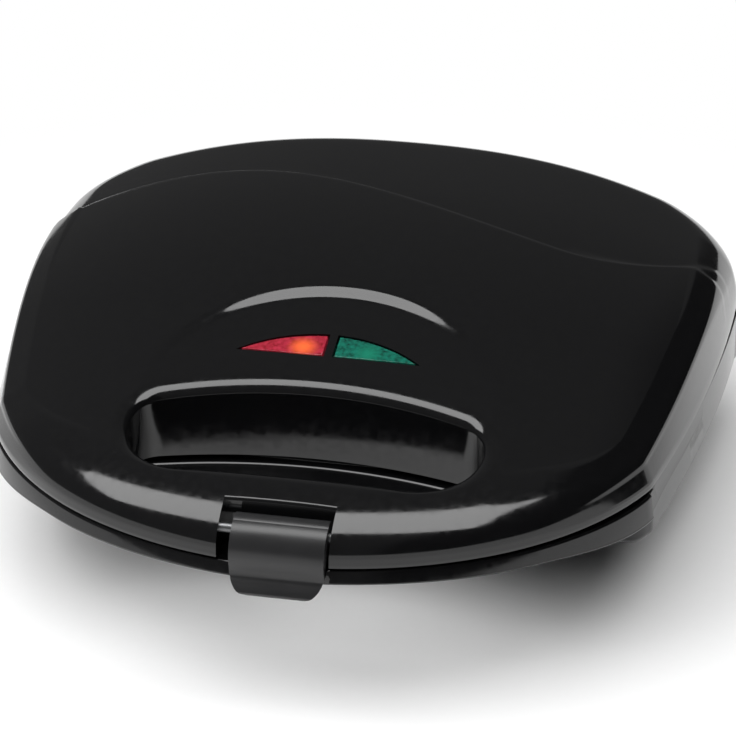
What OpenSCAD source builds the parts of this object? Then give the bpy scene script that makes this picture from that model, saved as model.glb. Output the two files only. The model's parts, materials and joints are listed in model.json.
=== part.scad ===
// Two-slice sandwich toaster: a clamshell of two moulded shells, each with a handle bar across the front,
// hinged at the rear and held shut by a clip. The origin is on the table under the middle of the toaster,
// +X to the right, +Y to the rear and +Z up. The front clip hangs in the lid's bar.

/* [Body] */
// Width of the lid's rim
body_w = 232; // [215:1:250]
// Depth of the lid's rim, front to rear
body_d = 235; // [220:1:250]
// Height of the base shell, feet left out
base_h = 33.6; // [32:0.2:38]
// Gap between the two rims
rim_gap = 0.8; // [0.6:0.1:1.2]
// Height of the lid above its rim, at its highest point
lid_h = 41.6; // [39:0.2:46]
// Wall of both shells
wall = 2.6; // [2:0.1:3]
// How far the base stands out past the lid's rim at the rear
side_out = 1.2; // [0.8:0.1:1.6]
// How far the base's front corners lie inside the lid's rim
corner_in = 1.2; // [0:0.1:2]

/* [Outline] */
// Radius of the middle of the front
front_r = 118; // [110:1:125]
// Radius of the front's flanks
flank_r = 104; // [98:1:110]
// Radius of the soft corner between flank and side
corner_r = 20; // [14:1:26]
// Radius of the long side
side_r = 640; // [580:5:700]
// Radius of the rear corner
rear_corner_r = 34; // [28:1:40]

/* [Lid form] */
// Rise of the lid's top from front to rear, per unit of depth
slope = 0.2; // [0.18:0.005:0.22]
// Distance from the body's front to where the top starts to level out
level_from = 110; // [100:1:120]
// Distance from the body's front to the highest point of the top
top_from = 182; // [170:1:195]
// How far the top falls at the widest point of the sides
crown = 19; // [16:0.5:21]
// Height of the lid's upright edge band
edge_h = 5; // [4:0.2:6]
// Width of the round that joins the edge band to the top, at the front
roll_front = 14; // [12:0.5:16]
// Width of that round at the sides
roll_side = 17; // [15:0.5:19]
// Width of that round at the rear
roll_rear = 20; // [16:0.5:26]
// Step of the wavy line behind which the rear of the top lies lower, at its right end
rear_step = 0.8; // [0.5:0.1:1.3]
// How much deeper that step is at its left end
rear_step_left = 1.5; // [0:0.1:2]
// Distance from the body's front to the middle of the wavy line
wave_from = 167.5; // [160:0.5:175]
// Height of the wave on each side of its middle
wave_h = 17.5; // [12:0.5:20]
// Step of the brow over the lenses, at its middle
brow_step = 1.8; // [1:0.1:2.4]
// Radius of the brow's upper edge
brow_r = 58; // [54:1:60]
// Width of the brow's slanted face
brow_w = 5; // [4:0.5:6]
// Distance from the body's front to the brow's centre
brow_from = 56; // [54:0.5:58]

/* [Handle] */
// Depth of the handle bar, from the body's front to the finger opening
bar_w = 26.5; // [24:0.5:28]
// Width of the finger opening
open_w = 109; // [100:1:115]
// Radius of the opening's front corners
open_front_r = 21; // [18:0.5:23]
// Radius of the opening's rear corners
open_rear_r = 11; // [9:0.5:13]
// Round on the opening's upper edge
open_lip = 2.6; // [2:0.1:3.2]
// Thickness of the base's handle bar
base_bar_h = 5; // [4.5:0.1:6]

/* [Latch] */
// Width of the clip
clip_w = 28.5; // [25:0.5:32]
// Gap on each side of the clip in the lid's notch
clip_side_gap = 2.7; // [1.5:0.1:3.5]
// Gap on each side of the clip in the base's notch
hook_side_gap = 0.8; // [0.6:0.1:1.5]
// Depth of the lid's notch, from the body's front
notch_d = 15.5; // [14.5:0.1:17]
// Depth of the base's notch, from the body's front
hook_notch_d = 1.7; // [1.4:0.1:2.2]
// Distance from the body's front to the clip's pin
pin_in = 6.5; // [6:0.1:7.5]
// Height of the clip's pin above the lid's rim
pin_up = 7.6; // [7:0.1:8.4]
// Diameter of the clip's pin
pin_d = 3; // [2.6:0.1:3.4]
// Radius of the clip's barrel
clip_barrel_r = 5; // [4.4:0.1:5.2]
// Thickness of the clip's front plate
clip_t = 2.6; // [2.2:0.1:3]
// How far the clip's front face stands out from the body's front
clip_out = 3; // [2.8:0.1:3.6]
// How far the clip's finger lip stands out from the clip's front face
lip_out = 2.8; // [2:0.1:4]
// Length of the clip below the base's bar
clip_drop = 1.8; // [1.5:0.1:3]

/* [Hinge] */
// Distance of each hinge from the side of the body
hinge_in = 44; // [40:1:50]
// Diameter of the hinge pins
hinge_pin_d = 4; // [3.6:0.1:4.6]
// Outer radius of the hinge's knuckles and ears
knuckle_r = 5.5; // [5:0.1:6]
// Length of the lid's knuckle
knuckle_l = 16; // [14:0.5:18]
// Thickness of each of the base's ears
ear_t = 5; // [4:0.5:6]
// Gap between knuckle and ear
ear_gap = 0.4; // [0.3:0.05:0.6]
// Gap between the hinge's knuckles and the base's rear wall
hinge_clear = 0.6; // [0.5:0.1:1]

/* [Lenses] */
// Width of the pair of lenses, tip to tip
lens_w = 57; // [52:1:60]
// Depth of the pair at its middle
lens_d = 10.5; // [9:0.5:12]
// Gap between the red and the green lens
lens_gap = 3; // [2.4:0.1:4]
// Distance from the body's front to the lenses' front edge
lens_from = 82.5; // [80:0.5:84]
// Thickness of a lens
lens_t = 3.4; // [3.2:0.1:3.8]

/* [Plates] */
// Thickness of the plates' flange
plate_t = 3.5; // [3:0.1:4]
// Distance between the plate's edge and the widest part of the body
plate_side = 24; // [23:0.5:26]
// Distance between the plate's rear edge and the body's rear
plate_rear = 26; // [24:0.5:29]
// Gap between plate and the front wall of its shell
plate_front_gap = 20; // [18:0.5:23]
// Depth of the wells in the lower plate
lower_well = 13; // [11:0.5:13.5]
// Depth of the wells in the upper plate
upper_well = 9; // [8:0.5:9.5]
// Wall of the wells
well_t = 2.5; // [2:0.1:2.5]
// Margin between the wells and the plate's edge
well_margin = 7; // [6:0.5:9]
// Width of the ridge between neighbouring wells
ridge_w = 7; // [5:0.5:9]
// Diameter of the heating elements
heater_d = 6.5; // [6:0.1:6.6]
// Thickness of the reflector's sheet
sheet_t = 0.8; // [0.6:0.1:1]

/* [Feet and cord inlet] */
// Height of the feet below the base
foot_h = 9; // [7:0.5:12]
// Diameter of the feet
foot_d = 18; // [15:0.5:20]
// Bore of the cord inlet
inlet_d = 6.4; // [5.6:0.1:7]

/* [Hidden] */
$fn = 64;
gloss_black = [0.03, 0.03, 0.035];
seat = 0.2; // gap at a seat
run = 0.05; // radial running clearance of a pin
cut = 1; // how far a cutting tool reaches past what it cuts

// heights
base_z = foot_h;
base_rim_z = base_z + base_h;
rim_z = base_rim_z + rim_gap;
top_z = rim_z + lid_h;
bar_low_z = base_rim_z - base_bar_h;

// outline of the rim: arcs by the angle of their outward normal, which goes from -90 at the front to 90
front_a = -60;
flank_a = -24;
corner_a = -11;
rear_a = 78;
function arc_step(r, a, b) = r * [cos(b) - cos(a), sin(b) - sin(a)];
q1 = arc_step(front_r, -90, front_a);
q2 = q1 + arc_step(flank_r, front_a, flank_a);
q3 = q2 + arc_step(corner_r, flank_a, corner_a);
q4 = q3 + arc_step(side_r, corner_a, 0);
q5 = q4 + arc_step(rear_corner_r, 0, rear_a);
rear_r = q5.x / cos(rear_a);
raw_w = 2 * q4.x;
raw_d = q5.y + rear_r * (1 - sin(rear_a));
kx = body_w / raw_w;
ky = body_d / raw_d;
hinge_x = body_w / 2 - hinge_in;
hinge_half = knuckle_l / 2 + ear_gap + ear_t;
function rear_line(x) = ky * (raw_d - rear_r + sqrt(pow(rear_r, 2) - pow(x / kx, 2))); // from the body's front
axis_back = rear_line(hinge_x - hinge_half) + side_out + hinge_clear + knuckle_r;
front_y = -(clip_out + lip_out + axis_back + knuckle_r) / 2 + clip_out + lip_out;
rear_y = front_y + body_d;
function raw_rim(a) =
    a <= front_a ? arc_step(front_r, -90, a) :
    a <= flank_a ? q1 + arc_step(flank_r, front_a, a) :
    a <= corner_a ? q2 + arc_step(corner_r, flank_a, a) :
    a <= 0 ? q3 + arc_step(side_r, corner_a, a) :
    a <= rear_a ? q4 + arc_step(rear_corner_r, 0, a) :
    q5 + arc_step(rear_r, rear_a, a);
function stretch(p) = [p.x * kx, front_y + p.y * ky];
function unit(v) = v / norm(v);
function normal(a) = unit([cos(a) / kx, sin(a) / ky]);
function steps(a, b, n) = [for (i = [0:n - 1]) a + (b - a) * i / n];
rim_angles = concat(steps(-90, front_a, 5), steps(front_a, flank_a, 7), steps(flank_a, corner_a, 4),
    steps(corner_a, 0, 9), steps(0, rear_a, 9), steps(rear_a, 90, 5), [90]);
function both_sides(right) = concat(right, [for (i = [len(right) - 2:-1:1]) [-right[i].x, right[i].y]]);
function flags(right) = concat(right, [for (i = [len(right) - 2:-1:1]) right[i]]);
rim_right = [for (a = rim_angles) stretch(raw_rim(a))];
rim_line = both_sides(rim_right);
rim_normals = both_sides([for (a = rim_angles) normal(a)]);
rim_turn = flags(rim_angles);
function inset(line, normals, s) = [for (i = [0:len(line) - 1]) line[i] - s * normals[i]];
function soft(t) = let (c = min(1, max(0, t))) c * c * (3 - 2 * c);

// the finger opening, by the same kind of arcs
open_a = 10;
open_rear_a = 72;
open_y = front_y + bar_w;
o1 = [open_w / 2 - open_front_r, open_y];
o2 = o1 + arc_step(open_front_r, -90, open_a);
o3 = o2 + arc_step(open_rear_r, open_a, open_rear_a);
open_back_r = o3.x / cos(open_rear_a);
open_rear_y = o3.y + open_back_r * (1 - sin(open_rear_a));
function opening(a) =
    a <= open_a ? o1 + arc_step(open_front_r, -90, a) :
    a <= open_rear_a ? o2 + arc_step(open_rear_r, open_a, a) :
    o3 + arc_step(open_back_r, open_rear_a, a);
open_angles = concat(steps(-90, open_a, 8), steps(open_a, open_rear_a, 5), steps(open_rear_a, 90, 5), [90]);
open_half = [for (a = open_angles) opening(a)];
open_line = concat([[0, open_y]], open_half,
    [for (i = [len(open_half) - 2:-1:0]) [-open_half[i].x, open_half[i].y]]);
open_normals = concat([[0, -1]], [for (a = open_angles) [cos(a), sin(a)]],
    [for (i = [len(open_angles) - 2:-1:0]) [-cos(open_angles[i]), sin(open_angles[i])]]);

// the body behind the opening: a flat front, round corners, then the rim's own sides and rear;
// each point is its place, its outward normal and that normal's angle
body_y = open_rear_y;
body_raw_y = (body_y - front_y) / ky;
function body_turn(r) = asin((body_raw_y + r - q3.y + side_r * sin(corner_a)) / (side_r - r));
function body_angles(r) = concat(steps(-90, body_turn(r), 6), steps(body_turn(r), 0, 7), steps(0, rear_a, 8),
    steps(rear_a, 90, 4), [90]);
function body_point(a, r) = a >= body_turn(r) ? stretch(raw_rim(a)) :
    stretch([raw_rim(body_turn(r)).x + r * (cos(a) - cos(body_turn(r))), body_raw_y + r * (1 + sin(a))]);
function body_half(r) = [for (a = body_angles(r)) [body_point(a, r), normal(a), a]];
function flip(e) = [[-e[0].x, e[0].y], [-e[1].x, e[1].y], e[2]];
function body(r) = let (h = body_half(r)) concat(h, [for (i = [len(h) - 2:-1:0]) flip(h[i])]);

// the lid's top
level_y = front_y + level_from;
high_y = front_y + top_from;
crown_power = 2.6;
level_z = top_z - slope * (high_y - level_y) / 2;
rear_fall = 0.0006;
brow_y = front_y + brow_from;
brow_reach = 53; // half of the brow's width, tip to tip
wave_x = 15;
wave_l = 260; // length of a whole wave
function spine_z(y) =
    y < level_y ? level_z - slope * (level_y - y) :
    y < high_y ? top_z - slope * pow(high_y - y, 2) / (2 * (high_y - level_y)) :
    top_z - rear_fall * pow(y - high_y, 2);
function wave_y(x) = front_y + wave_from - wave_h * sin(360 * (x - wave_x) / wave_l);
function behind_wave(x, y) = min(1, max(0, (y - wave_y(x)) / 0.8));
function wave_step(x) = rear_step + rear_step_left * soft(-2 * x / body_w);
function brow(x, y) = let (r = norm([x, y - brow_y]))
    brow_step * max(0, 1 - pow(x / brow_reach, 2)) * (1 - soft((r - brow_r + brow_w) / brow_w));
function top(x, y) = spine_z(y) - crown * pow(2 * abs(x) / body_w, crown_power) - brow(x, y)
    - wave_step(x) * behind_wave(x, y);

// a closed solid through rings of points; the last ring is closed by a point or by a flat face
function loft_faces(n, rings) = [for (k = [0:rings - 2], i = [0:n - 1], h = [0, 1])
    let (a = k * n + i, b = k * n + (i + 1) % n) h == 0 ? [a, b + n, b] : [a, a + n, b + n]];
module loft(rings, tip = undef) {
    n = len(rings[0]);
    m = len(rings);
    last = (m - 1) * n;
    points = [for (r = rings) each r];
    lid_faces = is_undef(tip) ? [[for (i = [n - 1:-1:0]) last + i]] :
        [for (i = [0:n - 1]) [last + i, m * n, last + (i + 1) % n]];
    polyhedron(points = is_undef(tip) ? points : concat(points, [tip]),
        faces = concat([[for (i = [0:n - 1]) i]], loft_faces(n, m), lid_faces), convexity = 8);
}
function flat_ring(line, z) = [for (p = line) [p.x, p.y, z]];

// the lid's edge, from the rim up over the band and the round to the top
band_lean = 0.3; // how far the edge band leans in
function edge_in(a) = roll_front + (roll_side - roll_front) * soft((a + 90) / 65)
    + (roll_rear - roll_side) * soft(a / 60);
function edge_point(i, s, share) = let (p = rim_line[i] - s * rim_normals[i])
    [p.x, p.y, rim_z + edge_h + (top(p.x, p.y) - rim_z - edge_h) * share];
function rim_ring(s, z) = [for (i = [0:len(rim_line) - 1])
    let (p = rim_line[i] - s * rim_normals[i]) [p.x, p.y, z]];
function roll_ring(t) = [for (i = [0:len(rim_line) - 1])
    edge_point(i, band_lean + (edge_in(rim_turn[i]) - band_lean) * (1 - cos(t)), sin(t))];
// the top is drawn on rays from the brow's centre, so that brow and wave fall on whole rings
pole = [0, brow_y];
function ray_end(i) = rim_line[i] - edge_in(rim_turn[i]) * rim_normals[i];
function wave_hit(u, r, n = 9) = n == 0 ? r : wave_hit(u, (wave_y(r * u.x) - pole.y) / u.y, n - 1);
function wave_on_ray(u, r) = u.y < 0.55 ? r : min(r - 2, wave_hit(u, 120));
function ray_rings(u, r) = let (w = wave_on_ray(u, r), b = min(brow_r, 0.86 * min(r, w)))
    u.y < 0.55 ? [r - (r - b) * 0.25, r - (r - b) * 0.3, r - (r - b) * 0.6, b, b * 0.96, b * 0.91, b * 0.6] :
    [w + 1.2, w, w - (w - b) * 0.5, b, b - brow_w / 2, b - brow_w, b * 0.6];
function ray_ring(k) = [for (i = [0:len(rim_line) - 1])
    let (e = ray_end(i), u = unit(e - pole), p = pole + u * ray_rings(u, norm(e - pole))[k])
    [p.x, p.y, top(p.x, p.y)]];
module lid_solid() {
    loft(concat([rim_ring(0.8, rim_z), rim_ring(0, rim_z + 0.8)], [for (t = [0:15:90]) roll_ring(t)],
        [for (k = [0:6]) ray_ring(k)]), tip = [pole.x, pole.y, top(pole.x, pole.y)]);
}

// the hollow of the lid behind the opening
hollow_corner_r = 24;
hollow = body(hollow_corner_r);
skin = wall + 0.6; // the top is curved, so its wall is measured a little thicker straight up
hollow_foot = rim_z + edge_h - 0.5;
function hollow_in(e) = 4 + (edge_in(e[2]) - 2) * soft((e[2] + 90) / 40); // from its wall to its flat ceiling
function hollow_at(e, s) = e[0] - s * e[1];
function ceiling_ring(t) = [for (e = hollow) let (p = hollow_at(e, wall + hollow_in(e) * (1 - cos(t))))
    [p.x, p.y, hollow_foot + (top(p.x, p.y) - skin - hollow_foot) * sin(t)]];
hollow_mid = [0, (body_y + rear_y) / 2];
function ceiling_share(k) = [for (e = hollow) let (q = hollow_at(e, wall + hollow_in(e)),
    p = hollow_mid + (q - hollow_mid) * k) [p.x, p.y, top(p.x, p.y) - skin]];
module lid_hollow() {
    loft([flat_ring([for (e = hollow) hollow_at(e, wall)], rim_z - cut),
        for (t = [0, 25, 50, 70, 90]) ceiling_ring(t), for (k = [0.8, 0.55, 0.28]) ceiling_share(k)],
        tip = [hollow_mid.x, hollow_mid.y, top(hollow_mid.x, hollow_mid.y) - skin]);
}
module opening_tool() {
    function lip_ring(s, up) = [for (i = [0:len(open_line) - 1])
        let (p = open_line[i] + s * open_normals[i]) [p.x, p.y, top(p.x, p.y) + up]];
    loft([flat_ring(open_line, base_z), flat_ring(open_line, rim_z + 2), lip_ring(0, -open_lip),
        lip_ring(0.3 * open_lip, -0.3 * open_lip - 0.35), lip_ring(1.3 * open_lip, 0.35 * open_lip),
        flat_ring(open_line, top_z + cut)]);
}

// the hinge: an axis along X behind the rear wall, on the rims' level
axis_y = front_y + axis_back;
axis_z = rim_z;
module along_x(x, l) { // draws a side profile, given in Y and Z, as a slab centred on x
    translate([x - l / 2, 0, 0]) rotate([90, 0, 90]) linear_extrude(l) children();
}
module hinge_profile(up, far_x) { // a knuckle with its web up to the lid's wall, or down to the base's wall
    lean = 40;
    root = wall / 2 + 0.2;
    foot_y = front_y + rear_line(far_x) - (up ? root : 0);
    reach = (axis_y + knuckle_r * cos(lean) - foot_y) / tan(lean);
    translate([axis_y, axis_z]) circle(knuckle_r);
    mirror([0, up ? 0 : 1]) translate([0, up ? 0 : -2 * axis_z]) polygon([[axis_y, axis_z],
        [axis_y + knuckle_r * cos(lean), axis_z + knuckle_r * sin(lean)],
        [foot_y, axis_z + min(knuckle_r * sin(lean) + reach, up ? 14 : 13)],
        [foot_y, axis_z + (up ? 6.5 : 2)]]);
}
module lid_knuckles() {
    for (x = [-hinge_x, hinge_x]) along_x(x, knuckle_l) hinge_profile(true, hinge_x + knuckle_l / 2);
}
module base_ears() {
    for (x = [-hinge_x, hinge_x], h = [-1, 1]) let (ear_x = x + h * (knuckle_l / 2 + ear_gap + ear_t / 2))
        along_x(ear_x, ear_t) hinge_profile(false, abs(ear_x) + ear_t / 2);
}
module hinge_bores(r) {
    for (x = [-hinge_x, hinge_x]) along_x(x, 2 * hinge_half + 2 * cut) translate([axis_y, axis_z]) circle(r);
}
module hinge_pin(x) {
    color("silver") along_x(x, 2 * hinge_half) translate([axis_y, axis_z]) circle(hinge_pin_d / 2);
}

// plates and what belongs to them
plate_w = body_w - 2 * plate_side;
plate_y0 = body_y + wall + plate_front_gap;
plate_y1 = rear_y - plate_rear;
plate_y = (plate_y0 + plate_y1) / 2;
plate_d = plate_y1 - plate_y0;
plate_r = 10;
plate_gap = 0.6; // between the two closed plates
heater_side = 30; // from the plate's sides to the heater
heater_end = 32.6; // from the plate's front and rear to the heater
sheet_side = 14; // from the plate's sides to the reflector
sheet_end = 14.6; // from the plate's front and rear to the reflector
lower_z = rim_z - plate_gap / 2; // the lower plate's face
upper_z = rim_z + plate_gap / 2; // the upper plate's face
frame_t = 2;
screw_in = 5; // from the plate's edges to its screws
boss_r = 3.5;
screw_at = [for (x = [-1, 1], y = [-1, 1]) [x * (plate_w / 2 - screw_in), plate_y + y * (plate_d / 2 - screw_in)]];
screw_d = 3;
module rounded(w, d, r) {
    square([w - 2 * r, d], center = true);
    square([w, d - 2 * r], center = true);
    for (x = [-1, 1], y = [-1, 1]) translate([x * (w / 2 - r), y * (d / 2 - r)]) circle(r);
}
// one slice's two triangular wells, split by a ridge from the inner front to the outer rear corner
slice_w = (plate_w - 2 * well_margin - ridge_w) / 2;
slice_d = plate_d - 2 * well_margin;
slice_x = ridge_w / 2 + slice_w / 2;
well_round = 7;
well_lean = 0.45; // inward lean of a well's walls, per unit of depth
ridge_len = norm([slice_w, slice_d]);
function well_corners(s) = let (w = slice_w / 2, d = slice_d / 2,
    dx = ridge_w / 2 * ridge_len / slice_d, dy = ridge_w / 2 * ridge_len / slice_w)
    s > 0 ? [[-w + dx * 2, -d], [w, -d], [w, d - dy * 2]] : [[-w, -d + dy * 2], [w - dx * 2, d], [-w, d]];
function side_len(c, i) = norm(c[(i + 1) % 3] - c[(i + 2) % 3]);
function inner_centre(c) = (c[0] * side_len(c, 0) + c[1] * side_len(c, 1) + c[2] * side_len(c, 2))
    / (side_len(c, 0) + side_len(c, 1) + side_len(c, 2));
function cross2(a, b) = a.x * b.y - a.y * b.x;
function inner_r(c) = abs(cross2(c[1] - c[0], c[2] - c[0]))
    / (side_len(c, 0) + side_len(c, 1) + side_len(c, 2));
function edge_turn(c, i) = let (e = c[(i + 1) % 3] - c[i]) atan2(e.y, e.x) - 90;
function well_ring(c, s, r, z) = let (o = inner_centre(c), k = (inner_r(c) - s - r) / inner_r(c))
    [for (i = [0:2], j = [0:4]) let (a = edge_turn(c, (i + 2) % 3), b = edge_turn(c, i),
        t = a + (b < a ? b + 360 - a : b - a) * j / 4, p = o + (c[i] - o) * k) [p.x + r * cos(t), p.y + r * sin(t), z]];
module well(c, depth, grow) { // opens upwards from z = 0
    floor_round = 3;
    loft([well_ring(c, (depth - floor_round) * well_lean + floor_round - grow, well_round, -depth),
        well_ring(c, (depth - floor_round) * well_lean + 0.9 - grow, well_round, 0.9 - depth),
        well_ring(c, (depth - floor_round) * well_lean - grow, well_round, floor_round - depth),
        well_ring(c, -grow, well_round, 0), well_ring(c, -grow, well_round, grow > 0 ? 0.1 : cut)]);
}
module wells(depth, grow) {
    for (h = [0, 1], s = [-1, 1]) mirror([h, 0, 0]) translate([slice_x, plate_y, 0]) well(well_corners(s), depth, grow);
}
stud_end = 20.6; // from the plate's front and rear to the studs
stud_at = [for (y = [-1, 1]) [0, plate_y + y * (plate_d / 2 - stud_end)], [-slice_x, plate_y], [slice_x, plate_y]];
module plate(depth) { // cooking face up at z = 0
    stud_l = depth + well_t + heater_d + 2 * seat;
    difference() {
        union() {
            translate([0, plate_y, -plate_t]) linear_extrude(plate_t) rounded(plate_w, plate_d, plate_r);
            wells(depth + well_t, well_t - 0.5);
            for (p = stud_at) translate([p.x, p.y, -stud_l]) cylinder(h = stud_l - 1, r = 3);
        }
        wells(depth, 0);
        for (p = screw_at) translate([p.x, p.y, -plate_t - cut]) {
            cylinder(h = plate_t + 2 * cut, r = screw_d / 2 + 0.3);
            translate([0, 0, plate_t + cut - 1.8]) cylinder(h = 1.8 + cut, r1 = screw_d / 2 + 0.3,
                r2 = screw_d / 2 + 0.3 + 1.8 + cut);
        }
    }
}
module lower_plate() { color([0.12, 0.12, 0.13]) translate([0, 0, lower_z]) plate(lower_well); }
module upper_plate() { color([0.12, 0.12, 0.13]) translate([0, 0, upper_z]) mirror([0, 0, 1]) plate(upper_well); }
module heater() { // a tube bent to a rounded loop that is open at the rear, with its two ends turned back
    hx = plate_w / 2 - heater_side;
    hy = plate_d / 2 - heater_end;
    bend = 12;
    lead = 10;
    tube_r = heater_d / 2;
    for (x = [-1, 1]) {
        translate([x * hx, plate_y - hy + bend, 0]) rotate([-90, 0, 0]) cylinder(h = 2 * (hy - bend), r = tube_r);
        translate([x * (hx - bend), plate_y - hy + bend, 0]) rotate([0, 0, x > 0 ? -90 : 180])
            rotate_extrude(angle = 90) translate([bend, 0]) circle(tube_r);
        translate([x * (hx - bend), plate_y + hy - bend, 0]) rotate([0, 0, x > 0 ? 0 : 90])
            rotate_extrude(angle = 90) translate([bend, 0]) circle(tube_r);
        translate([x > 0 ? lead : bend - hx, plate_y + hy, 0]) rotate([0, 90, 0])
            cylinder(h = hx - bend - lead, r = tube_r);
    }
    translate([bend - hx, plate_y - hy, 0]) rotate([0, 90, 0]) cylinder(h = 2 * (hx - bend), r = tube_r);
}
lower_heater_z = lower_z - lower_well - well_t - seat - heater_d / 2;
upper_heater_z = upper_z + upper_well + well_t + seat + heater_d / 2;
module lower_heater() { color("dimgray") translate([0, 0, lower_heater_z]) heater(); }
module upper_heater() { color("dimgray") translate([0, 0, upper_heater_z]) heater(); }
sheet_w = plate_w - 2 * sheet_side;
sheet_d = plate_d - 2 * sheet_end;
sheet_rim = 5;
module reflector() { // a shallow tray, its floor below z = 0
    translate([0, plate_y, 0]) difference() {
        translate([0, 0, -sheet_t]) linear_extrude(sheet_t + sheet_rim) rounded(sheet_w, sheet_d, 8);
        linear_extrude(sheet_rim + cut) rounded(sheet_w - 2 * sheet_t, sheet_d - 2 * sheet_t, 8 - sheet_t);
    }
}
lower_sheet_z = lower_heater_z - heater_d / 2 - seat;
upper_sheet_z = upper_heater_z + heater_d / 2 + seat;
module lower_reflector() { color("silver") translate([0, 0, lower_sheet_z]) reflector(); }
module upper_reflector() { color("silver") translate([0, 0, upper_sheet_z]) mirror([0, 0, 1]) reflector(); }
module screws(l) {
    for (p = screw_at) translate([p.x, p.y, -l]) {
        cylinder(h = l - 1, r = screw_d / 2);
        translate([0, 0, l - 1.8]) cylinder(h = 1.6, r1 = screw_d / 2, r2 = screw_d / 2 + 1.6);
    }
}
screw_l = 12;
module lower_plate_screws() { color("silver") translate([0, 0, lower_z]) screws(screw_l); }
module upper_plate_screws() { color("silver") translate([0, 0, upper_z]) mirror([0, 0, 1]) screws(screw_l); }

// the rings that close the shells round the plates
lower_frame_z = lower_z - plate_t - frame_t;
upper_frame_z = upper_z + plate_t;
frame_clear = 0.3;
window_in = 3; // how far the window lies inside the plate's edge
module frame_ring(line) {
    linear_extrude(frame_t) difference() {
        polygon(line);
        translate([0, plate_y]) rounded(plate_w - 2 * window_in, plate_d - 2 * window_in, plate_r - window_in);
        for (p = screw_at) translate(p) circle(boss_r);
    }
}
module lid_frame() {
    color(gloss_black) translate([0, 0, upper_frame_z])
        frame_ring([for (e = hollow) hollow_at(e, wall + frame_clear + 0.3)]);
}

// the base: a flat front bar and a boat-shaped body
base_corner_r = 8;
base_body = body(base_corner_r);
front_out = 0.5; // the body's front, ahead of the opening's rear wall
function body_out(a) = front_out - (front_out + corner_in) * soft((a + 90) / 60)
    + (side_out + corner_in) * soft((a + 10) / 14);
function side_at(e, s) = e[0] - (s - body_out(e[2])) * e[1];
bottom_share = 0.8;
body_mid = [0, (body_y + rear_y) / 2];
band_h = 12; // height of the upright band under the base's rim
bilge_h = 15; // height of band and bilge
function bottom_ring(s, z, k) = [for (e = base_body)
    let (p = body_mid + (side_at(e, s) - body_mid) * k) [p.x, p.y, z]];
function body_ring(s, z) = [for (e = base_body) let (p = side_at(e, s)) [p.x, p.y, z]];
module base_body() {
    loft([bottom_ring(3, base_z, bottom_share), body_ring(3, base_rim_z - bilge_h),
        body_ring(1, base_rim_z - bilge_h + 1.8), body_ring(0, base_rim_z - band_h),
        body_ring(0, base_rim_z - 0.8), body_ring(0.7, base_rim_z)]);
}
module base_hollow() {
    loft([bottom_ring(3 + wall, base_z + wall, bottom_share), body_ring(3 + wall + 0.6, base_rim_z - bilge_h + 1),
        body_ring(wall, base_rim_z - band_h + 0.4), body_ring(wall, base_rim_z + cut)]);
}
bar_dip = 1.3; // how much lower the front bar lies at its ends
function bar_ring(s, up) = [for (i = [0:len(rim_line) - 1]) let (t = soft((rim_turn[i] + 80) / 50),
    p = rim_line[i] - (s + 0.6 * corner_in * t) * rim_normals[i])
    [p.x, p.y, bar_low_z - bar_dip * t + up + (up > 3 ? 0 : -1.5 * t)]];
module base_bar() {
    loft([bar_ring(1.8, 0), bar_ring(0.5, 0.7), bar_ring(0, 1.8), bar_ring(0, base_bar_h - 1.1),
        bar_ring(0.3, base_bar_h - 0.5), bar_ring(1.2, base_bar_h - 0.3)]);
}
module base_opening() {
    translate([0, 0, base_z]) linear_extrude(base_h + cut) polygon(open_line);
}
module base_frame() {
    color(gloss_black) difference() {
        translate([0, 0, lower_frame_z]) frame_ring([for (e = base_body) side_at(e, wall + frame_clear)]);
        translate([0, wall_y - wall, lower_frame_z - cut]) cylinder(h = frame_t + 2 * cut, r = gland_flange_r + 0.6);
    }
}

// the latch
pin_y = front_y + pin_in;
pin_z = rim_z + pin_up;
face_y = front_y - clip_out;
notch_w = clip_w + 2 * clip_side_gap;
hook_notch_w = clip_w + 2 * hook_side_gap;
pin_hold = 5; // how deep the pin's ends sit in the lid
hook_gap = 0.4;
clip_waist = 0.7; // how far the clip's face draws back over its lip
clip_round = 9.5; // radius of the clip's shoulder
clip_low_z = bar_low_z - clip_drop;
module clip_profile() {
    inner_y = face_y + clip_t;
    nose_y = front_y + hook_notch_d - hook_gap;
    shoulder_z = pin_z + clip_barrel_r - 0.3 - clip_round;
    difference() {
        union() {
            translate([pin_y, pin_z]) circle(clip_barrel_r);
            polygon(concat([for (a = [0:9:90]) [pin_y - (pin_y - face_y) * sin(a), shoulder_z + clip_round * cos(a)]],
                [[face_y + clip_waist, bar_low_z + 5], [face_y + clip_waist, bar_low_z + 3.4],
                [face_y + clip_waist / 2, bar_low_z + 2.4], [face_y - lip_out, clip_low_z + 0.8],
                [face_y - lip_out + 0.4, clip_low_z], [nose_y - 0.3, clip_low_z + 0.1], [nose_y, clip_low_z + 0.4],
                [nose_y, bar_low_z - 0.5], [inner_y, bar_low_z + 0.6], [inner_y, base_rim_z + 0.6],
                [inner_y + 1.5, base_rim_z + 2.2], [pin_y, pin_z - clip_barrel_r + 0.6]]));
        }
        translate([pin_y, pin_z]) circle(pin_d / 2 + run);
    }
}
module clip_front() { // the clip seen from the front: straight sides, a rounded tongue below
    tongue_r = 9;
    h = pin_z + clip_barrel_r + cut - clip_low_z;
    translate([-clip_w / 2, clip_low_z + tongue_r]) square([clip_w, h - tongue_r]);
    translate([-clip_w / 2 + tongue_r, clip_low_z]) square([clip_w - 2 * tongue_r, h]);
    for (x = [-1, 1]) translate([x * (clip_w / 2 - tongue_r), clip_low_z + tongue_r]) circle(tongue_r);
}
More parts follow.
